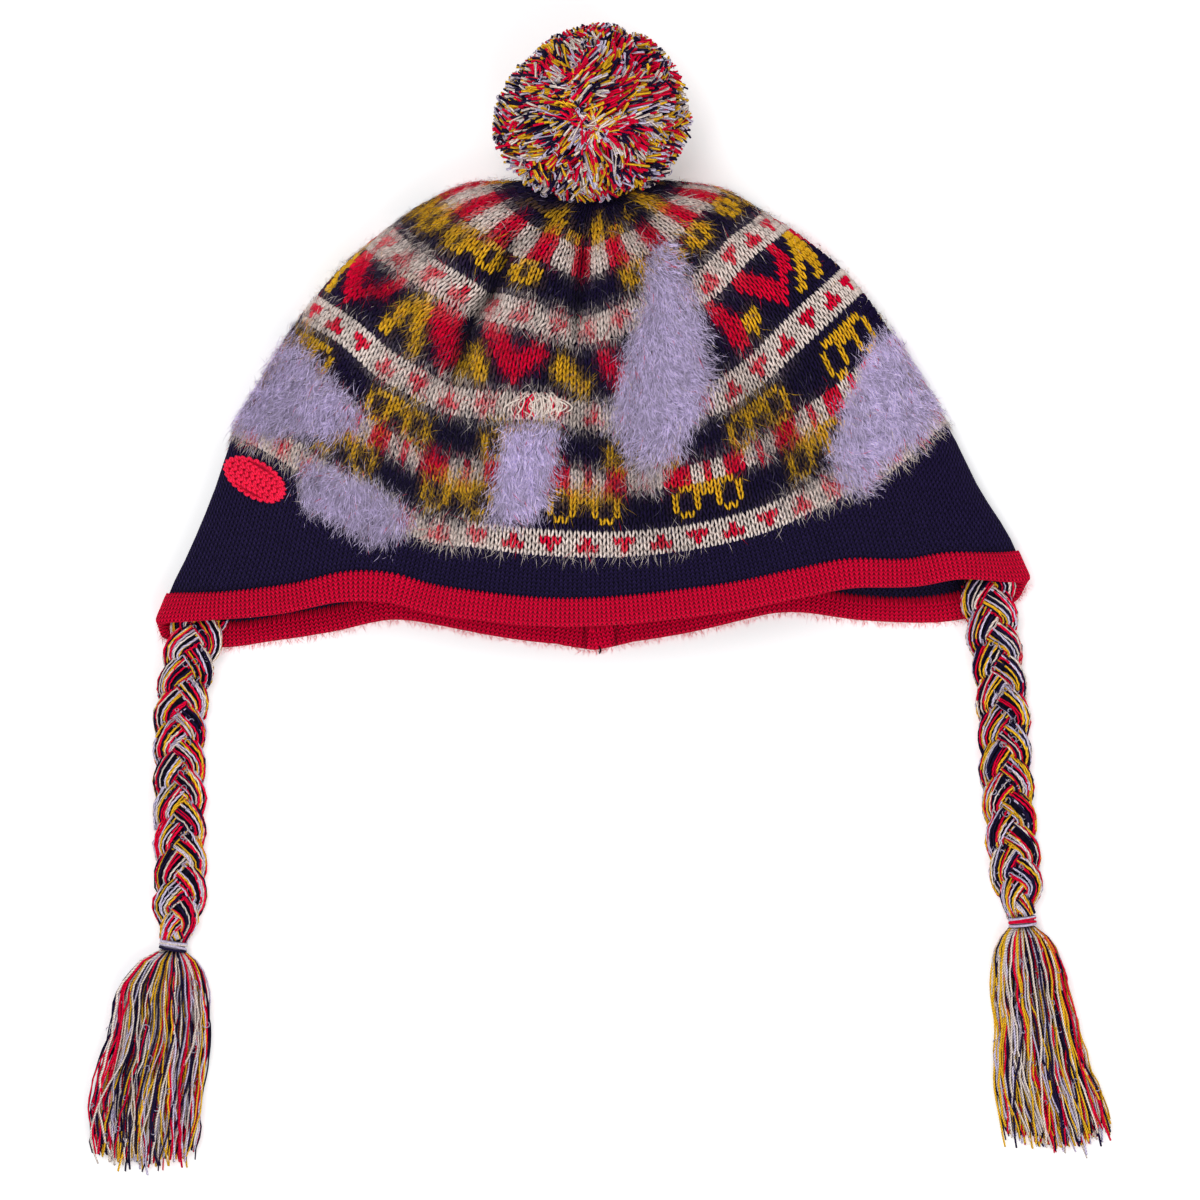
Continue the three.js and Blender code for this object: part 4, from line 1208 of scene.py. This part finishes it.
def borderFibres(random):
    # red fibres that stand off the edge of the border's lower layer
    n = edgeFuzz["fibres"]
    turn = -np.arccos(random.uniform(-1, 1, n))
    reach = mouthEdge(turn) - random.uniform(*edgeFuzz["in"], n)
    colour = np.broadcast_to(palette["red"], (n, 3)) * random.uniform(0.8, 1.1, n)[:, None]
    out, length, lean = (random.uniform(*edgeFuzz[name], n) for name in ("out", "length", "lean"))
    heading = random.normal(0, 0.8, n)
    width = np.full(n, edgeFuzz["width"])
    return hairs(reach, turn, out, length, lean, heading, width, colour, random, 1.2)


random = np.random.default_rng(fuzz["seed"])
fibres = joined([make(random) for make in (brushedFibres, haloFibres, borderFibres)])
addPiece("looseFuzz", fibres, wool["fuzz"])


pompom = {
    "centre": (-0.5, 82.6, 34.5),
    "size": (36.3, 32.8, 34.3),  # half sizes over the cut ends
    "yarns": 4500,
    "radius": 0.49,
    "radii": (0.8, 1.15),  # shares of it that the yarns have
    "thick": (0.7, 0.95, 1, 1.1),  # and the points of a yarn between its ends
    "length": {"mean": 0.955, "wander": 0.03, "tufts": 0.05, "random": 0.025, "most": 1.01},
    "loose": 0.42,  # share of yarns that don't take the colour of their neighbours
    "colours": {"navy": 29, "red": 24, "gold": 19, "cream": 16, "lilac": 12},
    "levels": (0.55, 0.55, 0.74, 0.88, 1, 1),  # points of a yarn, as shares of the way out
    "whorls": [(-0.28, 0.45, 0.95), (0.17, -0.22, 0.8), (0.55, 0.35, 0.25)],  # partings: x, y, strength
    "lean": {"reach": 0.75, "swirl": 0.45, "tufts": 0.6, "random": 0.16, "most": 0.95},
    "bend": (0, 0, 0.3, 1, 0.7, 0.7),  # how far each point of a yarn is bent aside, as a share
    "fuller": 0.11,  # how much wider it is towards the cap
    "aside": 0.06,  # how far it leans to the right away from the cap
    "tip": 0.25,  # length of the cut end
    "loops": 13,  # every how many yarns a loop sits
    "shadeBall": 0.74,  # size of the dark ball inside: painted shade between the yarns
    "seed": 31,
}


def yarnMix(count, random, weights):
    # each colour's share of the yarns, in random order
    names = list(weights)
    share = np.array([weights[name] for name in names], float)
    ends = np.round(np.cumsum(share) / share.sum() * count)
    index = random.permutation(np.searchsorted(ends, np.arange(count), side="right"))
    colours = np.array([palette[name] for name in names])[index]
    return colours * random.uniform(0.85, 1.12, count)[:, None]


def clumpedColours(way, random, weights):
    # yarns that end near each other share a colour: most take that of the nearest of many seats
    seats = unit(random.normal(0, 1, (len(way) // 3, 3)))
    nearest = np.argmax(way @ seats.T, axis=1)
    clumped = yarnMix(len(seats), random, weights)[nearest]
    loose = random.uniform(0, 1, len(way)) < pompom["loose"]
    return np.where(loose[:, None], yarnMix(len(way), random, weights), clumped)


boucle = {"radius": (0.6, 1.35), "turn": 0.85, "points": 9, "thickness": 0.21, "shade": (0.8, 1.15)}


def loopsAt(seats, normal, random):
    # small open rings of lilac boucle yarn, partly sunk: seat + r (cos t, sin t) in a leaning plane
    n = len(seats)
    first = unit(np.cross(normal, random.normal(0, 1, (n, 3))))
    second = np.cross(normal, first)
    t = np.linspace(0, 2 * np.pi * boucle["turn"], boucle["points"])
    radius = random.uniform(*boucle["radius"], n)[:, None, None]
    path = seats[:, None] + radius * (np.cos(t)[None, :, None] * first[:, None]
                                      + np.sin(t)[None, :, None] * (0.8 * second + 0.5 * normal)[:, None])
    colours = palette["lilac"] * random.uniform(*boucle["shade"], n)[:, None]
    return strands(path, normal[:, None], boucle["thickness"], 3, colours, 0.2)


def pompomYarns(random):
    # The cut ends are spread evenly over an ellipsoid, in the golden-angle order of a sunflower's
    # seeds about a tilted axis. Each yarn leans away from the partings: at share l of the way out its
    # direction is that of its end less lean x (1 - ((l - core) / (1 - core))^1.3), with the core at the
    # yarn's start.
    n = pompom["yarns"]
    i = np.arange(n)
    height = 1 - (2 * i + 1) / n
    angle = i * math.pi * (3 - math.sqrt(5))
    ring = np.sqrt(1 - height**2)
    way = np.stack([height, ring * np.cos(angle), ring * np.sin(angle)], -1)
    way = unit(way + random.normal(0, 0.035, (n, 3)))
    leaning = pompom["lean"]
    lean = np.zeros((n, 3))
    for x, y, strength in pompom["whorls"]:
        away = way - unit(np.array([x, y, math.sqrt(1 - x * x - y * y)]))
        far = np.linalg.norm(away, axis=1)[:, None]
        lean = lean + strength * away / (far + 0.08) * np.exp(-((far / leaning["reach"]) ** 2))
    x, y, z = way.T * 10
    swirl = np.stack([wave(x, y, 3.2, 0.3), wave(y, z, 2.8, 1.1), wave(z, x, 3, 2.3)], -1)
    tufts = np.stack([wave(x, z, 0.9, 0.7), wave(y, x, 0.9, 1.7), wave(z, y, 0.9, 2.7)], -1)
    lean = lean + leaning["swirl"] * swirl + leaning["tufts"] * tufts
    lean = lean + random.normal(0, leaning["random"], (n, 3))
    lean = lean - (lean * way).sum(-1, keepdims=True) * way
    size = np.maximum(np.linalg.norm(lean, axis=1, keepdims=True), 1e-6)
    lean = lean * np.minimum(1, leaning["most"] / size)
    cut = pompom["length"]
    length = cut["mean"] + cut["wander"] * wave(x, z, 2.5, 0.9) + cut["tufts"] * tufts[:, 0]
    length = np.minimum(length + random.normal(0, cut["random"], n), cut["most"])
    levels = np.array(pompom["levels"])
    share = (1 - ((levels - levels[0]) / (1 - levels[0])) ** 1.3)[:, None]
    path = unit(way[:, None] - lean[:, None] * share) * (levels * length[:, None])[..., None]
    bend = np.cross(way, random.normal(0, 0.045, (n, 3)))[:, None]
    path = path + bend * np.array(pompom["bend"])[:, None]
    path[..., 0] = path[..., 0] * (1 - pompom["fuller"] * path[..., 1]) + pompom["aside"] * path[..., 1]
    path = path * np.array(pompom["size"]) + np.array(pompom["centre"])
    path[:, 5] = path[:, 5] + unit(path[:, 4] - path[:, 3]) * pompom["tip"]
    path = aboveGround(path, 0.6)
    radius = pompom["radius"] * random.uniform(*pompom["radii"], n)[:, None]
    thick = radius * np.array(pompom["thick"])
    upward = np.cross(way, unit(random.normal(0, 1, (n, 3))))
    colours = clumpedColours(unit(path[:, 4] - np.array(pompom["centre"])), random, pompom["colours"])
    yarns = strands(path, upward[:, None], thick, 3, colours)
    chosen = np.flatnonzero(way[:, 2] > -0.2)[::pompom["loops"]]
    return joined([yarns, loopsAt(path[chosen, 4], way[chosen], random)])


def ball(centre, size, colour, columns=28, rows=16):
    # an ellipsoid: centre + size x (sin v cos u, sin v sin u, cos v)
    u = np.linspace(0, 2 * np.pi, columns, endpoint=False)
    v = np.linspace(0.12, np.pi - 0.12, rows)[:, None]
    rounds = np.stack([np.sin(v) * np.cos(u), np.sin(v) * np.sin(u), np.cos(v) + 0 * u], -1) * size + centre
    return closedRounds(aboveGround(rounds, 0.3), centre + upright * size, centre - upright * size, colour)


random = np.random.default_rng(pompom["seed"])
# a dark ball inside the yarns, painted shade in the gaps between them
shadeBall = ball(np.array(pompom["centre"]), np.array(pompom["size"]) * pompom["shadeBall"], palette["darkNavy"])
addPiece("yarnPompom", joined([pompomYarns(random), shadeBall]), wool["cutYarn"], ["pompom"])


routes = {  # millimetres, from inside the mouth to the knot
    "left": {
        "x": [-145.6, -147.5, -149.6, -151.5, -152.8, -153.6, -153.9, -153.9, -153.9, -153.9, -153.8,
              -153.7, -153.4, -153.8, -154.8, -156],
        "y": [-101, -109, -116.9, -124.8, -132.7, -140.9, -149.1, -157.3, -165.5, -173.7, -181.9, -190.1,
              -198.3, -206.5, -214.7, -222.8],
        "z": [10, 9.5, 8.6, 7, 5.7, 5.4, 5.4, 5.4, 5.4, 5.4, 5.4, 5.4, 5.4, 5.4, 5.4, 5.4],
    },
    "right": {
        "x": [144.6, 145.6, 146.7, 148, 149.3, 150.4, 151.2, 151.7, 151.9, 152.3, 153.1, 153.9, 154.8,
              155.9, 157, 158],
        "y": [-88.5, -96.8, -105.1, -113.2, -121.5, -129.8, -138.2, -146.7, -155.1, -163.5, -171.9, -180.3,
              -188.7, -197.1, -205.4, -213.8],
        "z": [10.6, 9.8, 8.4, 6.6, 5.5, 5.4, 5.4, 5.4, 5.4, 5.4, 5.4, 5.4, 5.4, 5.4, 5.4, 5.4],
    },
}
plait = {
    "period": {"left": 35.5, "right": 38},  # length in which a strand comes back to the same side
    "swing": 6.0,  # how far a strand's middle moves to each side
    "lift": 2.0,
    "bundle": (5.0, 3.1),  # half width and half height of a strand
    "yarns": 28,
    "yarn": 0.45,
    "yarnRadii": (0.85, 1.2),  # shares of it that the yarns have
    "core": 0.86,  # size of the dark middle of a strand: painted shade between its yarns
    "narrow": 0.14,  # half of the width that a strand loses where it turns back at the side
    "twist": 0.004,  # turns of a strand on each millimetre
    "step": 1.9,
    "phase": {"left": 0.6, "right": 2.1},
    "taper": (0.45, 14),  # how much slimmer it gets at the knot, and over what length
    "loose": (0.1, 8, 24),  # how much wider it is at its start, and from where to where it tightens
    "loops": 90,
    "loopPlace": (7.6, 5.2),  # how far the loops sit to the side and up
    "seed": 41,
}


def shuffledYarns(count, random):
    # every colour twice and red three times in each run of yarns, in a new order each time
    names = ["navy", "red", "gold", "cream", "lilac"] * 2 + ["red"]
    order = np.concatenate([random.permutation(len(names)) for _ in range(count // len(names) + 1)])[:count]
    return np.array([palette[names[k]] for k in order]) * random.uniform(0.85, 1.12, count)[:, None]


def routeCurve(side, spacing):
    # points at equal steps on a smooth curve through the route, and how far along each lies
    points = np.array([routes[side][axis] for axis in "xyz"]).T
    keys = lengthAlong(points)
    at = np.linspace(0, keys[-1], int(round(keys[-1] / spacing)) + 1)
    curve = np.stack([readTable(keys, points[:, k], at) for k in range(3)], -1)
    return curve, at, keys[-1]


def braidYarns(side, random):
    # Each of the three strands swings as sin(p) to the side and sin(2 p) up and down, a third of a
    # period apart. Its yarns lie round an ellipse about the strand's middle and turn slowly with it.
    curve, at, whole = routeCurve(side, plait["step"])
    along = unit(np.gradient(curve, axis=0))
    aside = unit(np.cross(along, upright))
    upwards = np.cross(aside, along)
    parts = []
    slimmer, taperLength = plait["taper"]
    wider, looseFrom, looseTo = plait["loose"]
    squeeze = 1 - slimmer * smoothStep(at, whole - taperLength, whole)
    spread = 1 + wider * (1 - smoothStep(at, looseFrom, looseTo))
    for strand in range(3):
        phase = 2 * np.pi * (at / plait["period"][side] + strand / 3) + plait["phase"][side]
        sway = plait["swing"] * np.sin(phase) * squeeze * spread
        rise = plait["lift"] * np.sin(2 * phase) * squeeze
        middle = curve + aside * sway[:, None] + upwards * rise[:, None]
        way = unit(np.gradient(middle, axis=0))
        across = unit(np.cross(way, upwards))
        over = np.cross(across, way)
        wide = plait["bundle"][0] * squeeze * (1 - plait["narrow"] * (1 - np.cos(2 * phase)))
        tall = plait["bundle"][1] * squeeze
        n = plait["yarns"]
        angle = 2 * np.pi * (np.arange(n)[:, None] / n + plait["twist"] * at[None, :])
        angle = angle + random.normal(0, 0.1, (n, 1))
        wander = np.sin(at / random.uniform(3, 7, (n, 1)) + random.uniform(0, 6, (n, 1)))
        angle = angle + 0.16 * wander
        bump = 1 + random.normal(0, 0.06, (n, len(at)))
        path = (middle[None] + across[None] * (wide * np.cos(angle) * bump)[..., None]
                + over[None] * (tall * np.sin(angle) * bump)[..., None])
        path = np.concatenate([path[:, :1] - along[0] * 0.4, path, path[:, -1:] + along[-1] * 0.4], 1)
        thick = plait["yarn"] * random.uniform(*plait["yarnRadii"], n)[:, None] * (0.75 + 0.25 * squeeze)
        outward = np.cos(angle)[..., None] * across[None] + np.sin(angle)[..., None] * over[None]
        parts.append(strands(path, outward, thick, 3, shuffledYarns(n, random), 0.15))
        # a dark filling inside each strand, painted shade in the gaps between its yarns
        centre = np.concatenate([middle[:1], middle, middle[-1:]])[None]
        core = plait["core"]
        parts.append(strands(centre, over, wide * core, 8, palette["darkNavy"], 0.3, tall * core))
    parts.append(braidLoops(curve, aside, upwards, squeeze, random))
    return joined(parts)


def braidLoops(curve, aside, upwards, squeeze, random):
    # loops of yarn that stand off all round the braid
    n = plait["loops"]
    k = random.integers(4, len(curve) - 6, n)
    angle = random.uniform(0.15, np.pi - 0.15, n)
    toSide, up = plait["loopPlace"]
    out = np.cos(angle)[:, None] * aside[k] * toSide + np.sin(angle)[:, None] * upwards[k] * up
    seats = curve[k] + out * squeeze[k][:, None] + random.normal(0, 0.8, (n, 3)) * np.array([1, 1, 0.3])
    return loopsAt(seats, unit(out), random)


tie = {"length": 3.4, "half": (4.9, 4.1), "thread": 0.5, "wander": 0.35, "core": 0.93, "gap": 0.3}
tassels = {  # half width and sideways shift of the fringe by share of its length, from the tie down
    "left": {"length": 78, "shares": [0, 0.04, 0.11, 0.19, 0.33, 0.47, 0.61, 0.76, 0.87, 1],
             "half": [4.2, 9, 12.8, 15.4, 16.5, 17.3, 18, 18.5, 18.3, 17],
             "shift": [0, -1.2, -2, -3.2, -3.6, -4.9, -7.8, -9.6, -10.3, -10.5],
             "colours": {"navy": 18, "red": 20, "gold": 18, "cream": 23, "lilac": 21}},
    "right": {"length": 80, "shares": [0, 0.05, 0.11, 0.23, 0.35, 0.46, 0.58, 0.7, 0.82, 1],
              "half": [4.2, 8.3, 10.7, 12.6, 13.1, 13.4, 14.6, 15.8, 16.8, 17.2],
              "shift": [0, 0.7, 1.2, 2.4, 3.3, 5, 6, 7.2, 9.6, 13],
              "colours": {"navy": 22, "red": 20, "gold": 26, "cream": 16, "lilac": 16}},
}
fringe = {
    "yarns": 270,
    "thickness": 0.46,
    "steps": 20,
    "top": 13.5,
    "stray": 0.09,  # share of yarns that stray
    "lengths": (0.025, 0.05, 0.03),  # scatter, shorter at the sides, longer where a yarn strays
    "drift": (0.04, 0.24),  # wander of a yarn to the side, as a share of the half width
    "scatter": (0.1, 0.3),  # of the ends to the side, and how much more where a yarn strays
    "ripple": (0.15, 0.5),
    "loops": 110,
}


def tieThread(start, axis, colours):
    # thread wound as a flattened coil: a step along the axis for each turn
    side = unit(np.cross(axis, upright))
    wide, tall = tie["half"]
    t = np.linspace(0, 2 * np.pi, 27)[:, None]
    parts = []
    for k, name in enumerate(colours):
        at = tie["length"] * (k + 0.5) / len(colours) + tie["wander"] * np.sin(t + 2 * k)
        ring = start + axis * at + side * wide * np.cos(t) + upright * tall * np.sin(t)
        parts.append(strands(ring[None], axis, tie["thread"], 6, palette[name], 0.2))
    # a filling at half the first thread's colour inside the coil: painted shade between the turns
    centre = start + axis * np.array([0.1, 0.1, 1.7, 3.3, 3.3])[:, None]
    wide, tall = wide * tie["core"], tall * tie["core"]
    parts.append(strands(centre[None], upright, wide, 14, palette[colours[0]] * 0.5, 0.3, tall))
    return joined(parts)


def tasselYarns(side, start, axis, random):
    # At share u of the length a yarn lies at shift(u) + spot x half(u) to the side, with its spot
    # wandering a little as it goes down, and between the ground and the fringe's top.
    values = tassels[side]
    n = fringe["yarns"]
    u = np.linspace(0, 1, fringe["steps"])[None, :]
    spot = np.clip(random.uniform(-1, 1, n) * 1.04, -1, 1)[:, None]
    level = random.uniform(0, 1, n)[:, None]
    stray = (random.uniform(0, 1, n) < fringe["stray"])[:, None]
    uneven, shorter, longer = fringe["lengths"]
    share = 1 + random.normal(0, uneven, n)[:, None] - shorter * spot**2 + longer * stray
    length = values["length"] * share

    def swings(low, high):
        # a sine down each yarn with a number of turns and a start of its own
        return np.sin(2 * np.pi * (u * random.uniform(low, high, (n, 1)) + random.uniform(0, 1, (n, 1))))

    scatter, more = fringe["scatter"]
    drift = random.uniform(*fringe["drift"], (n, 1)) * swings(0.4, 1.1) * u**0.5
    drift = drift + (scatter + more * stray) * random.normal(0, 1, (n, 1)) * u**1.5
    half = readTable(values["shares"], values["half"], u)
    shift = readTable(values["shares"], values["shift"], u)
    ripple = random.uniform(*fringe["ripple"], (n, 1)) * swings(3, 7)
    x = start[0] + shift + np.clip(spot + drift, -1.12, 1.12) * half + ripple * smoothStep(u, 0, 0.2)
    y = start[1] + axis[1] * length * u
    swell = np.sin(np.pi * u**0.42)
    dome = np.sqrt(np.maximum(0.05, 1 - (spot * 0.9) ** 2))
    low = 3 - 2.2 * smoothStep(u, 0, 0.15)
    high = 6 + (fringe["top"] - 6.5) * swell * dome
    z = start[2] - 5.4 + low + level * (high - low) + 0.3 * ripple
    path = aboveGround(np.stack([x, y, z], -1), 0.6)
    path = np.concatenate([path[:, :1], path, path[:, -1:]], 1)
    path[:, 0, 1] += 0.3
    path[:, -1, 1] -= 0.3
    thick = fringe["thickness"] * random.uniform(0.75, 1.2, n)[:, None]
    yarns = strands(path, upright, thick, 3, yarnMix(n, random, values["colours"]), 0.1)
    k = random.integers(0, n, fringe["loops"])
    m = random.integers(3, fringe["steps"] - 1, fringe["loops"])
    seats = path[k, m] + 0.5 * upright
    return joined([yarns, loopsAt(seats, upright + 0 * seats, random)])


random = np.random.default_rng(plait["seed"])
tieColours = {"left": ["lilac", "cream", "lilac", "navy"], "right": ["lilac", "red", "red", "lilac"]}
for side in ("left", "right"):
    braid = addPiece(side + "Braid", braidYarns(side, random), wool["plied"],
                     ["braid_" + side])
    curve, at, whole = routeCurve(side, 1)
    axis = unit((curve[-1] - curve[-2]) * np.array([1, 1, 0]))
    tieStart = curve[-1] + axis * tie["gap"]
    knot = addPiece(side + "Tie", tieThread(tieStart, axis, tieColours[side]), wool["plied"],
                    ["tie_" + side])
    tasselStart = tieStart + axis * (tie["length"] + 0.2)
    yarns = tasselYarns(side, tasselStart, axis, random)
    tassel = addPiece(side + "Tassel", yarns, wool["plied"], ["tassel_" + side])


patch = {
    "place": (-124.6, -52.5),
    "half": (12.3, 6.7),
    "tilt": -30,
    "thread": 0.55,
    "ground": [(0.9, -0.3), (0.97, 0.6), (0.93, 1.2), (0.8, 1.6), (0.55, 1.8), (0.25, 1.8)],  # share, height
    "rise": [-0.8, 0.1, 0.35, 0.1, -0.8],  # of a leg's points
    "rimStitches": 26,
    "rimOut": [0.82, 0.86, 0.93, 1, 1.02],  # a leg's points, as shares of the way out
    "rimAside": [0, 0.12, 0.3, 0.52, 0.6],  # and of a stitch to the side
    "rows": [-0.62, -0.21, 0.21, 0.62],  # rows of stitches along it, as shares of the half height
    "rowPitch": 1.9,
    "rowAlong": [-1.3, -0.9, 0, 0.9, 1.3],
    "rowAside": [0.15, 0.25, 0.6, 0.95, 1.05],
    "heights": (1.7, 2.1),  # of the rim and of the rows
    "colour": (252, 36, 76),
    "seed": 61,
}


def crochetPatch():
    # A low padded oval with a rim of V stitches round it and rows of slanting stitches along it.
    tilt = math.radians(patch["tilt"])
    wide, high = patch["half"]
    random = np.random.default_rng(patch["seed"])

    def spread(along, aside, out):
        # from the oval's own axes to a point over the cap
        x = patch["place"][0] + along * math.cos(tilt) - aside * math.sin(tilt)
        y = patch["place"][1] + along * math.sin(tilt) + aside * math.cos(tilt)
        reach, turn = onCap(x, y)
        return fabricPoint(reach, turn, out)

    def stitches(along, aside, out):
        # closed strands through the given points, a little lighter or darker each
        path = spread(along, aside, out)
        reach, turn = onCap(path[:, 1:-1, 0], path[:, 1:-1, 1])
        _, normal, _, _ = fabricFrame(reach, turn)
        thick = patch["thread"] * random.uniform(0.9, 1.1, (len(path), 1)) * np.array([0.85, 1.15, 0.85])
        return strands(path, normal, thick, 6, colour * random.uniform(0.9, 1.1, len(path))[:, None])

    colour = linearColour(patch["colour"])
    u = np.linspace(0, 2 * np.pi, 40, endpoint=False)
    shares, outs = np.array(patch["ground"]).T[..., None]
    rounds = spread(wide * shares * np.cos(u), high * shares * np.sin(u), outs)
    # the padded oval at half the thread's colour: painted shade between the stitches
    parts = [closedRounds(rounds, spread(0, 0, outs[0, 0]), spread(0, 0, outs[-1, 0]), colour * 0.5)]
    rise = np.array(patch["rise"])
    rimHeight, rowHeight = patch["heights"]
    count = patch["rimStitches"]
    for hand in (-1, 1):
        # the rim: legs that open outwards from each place
        place = 2 * np.pi * np.arange(count) / count
        s = np.array(patch["rimOut"])
        t = place[:, None] + hand * np.array(patch["rimAside"]) * 2 * np.pi / count
        parts.append(stitches(wide * s * np.cos(t), high * s * np.sin(t), rimHeight + rise + 0 * t))
        for row in patch["rows"]:
            # a row: legs that slant along it, as long as the oval is there
            reachOfRow = wide * 0.86 * math.sqrt(1 - (row * 0.9) ** 2)
            number = int(2 * reachOfRow / patch["rowPitch"])
            middle = np.linspace(-reachOfRow, reachOfRow, number)[:, None]
            along = middle + np.array(patch["rowAlong"])
            aside = high * 0.8 * row + hand * np.array(patch["rowAside"])
            parts.append(stitches(along, aside + 0 * along, rowHeight + rise + 0 * along))
    return joined(parts)


addPiece("crochetPatch", crochetPatch(), wool["cotton"], ["crochet_patch"])
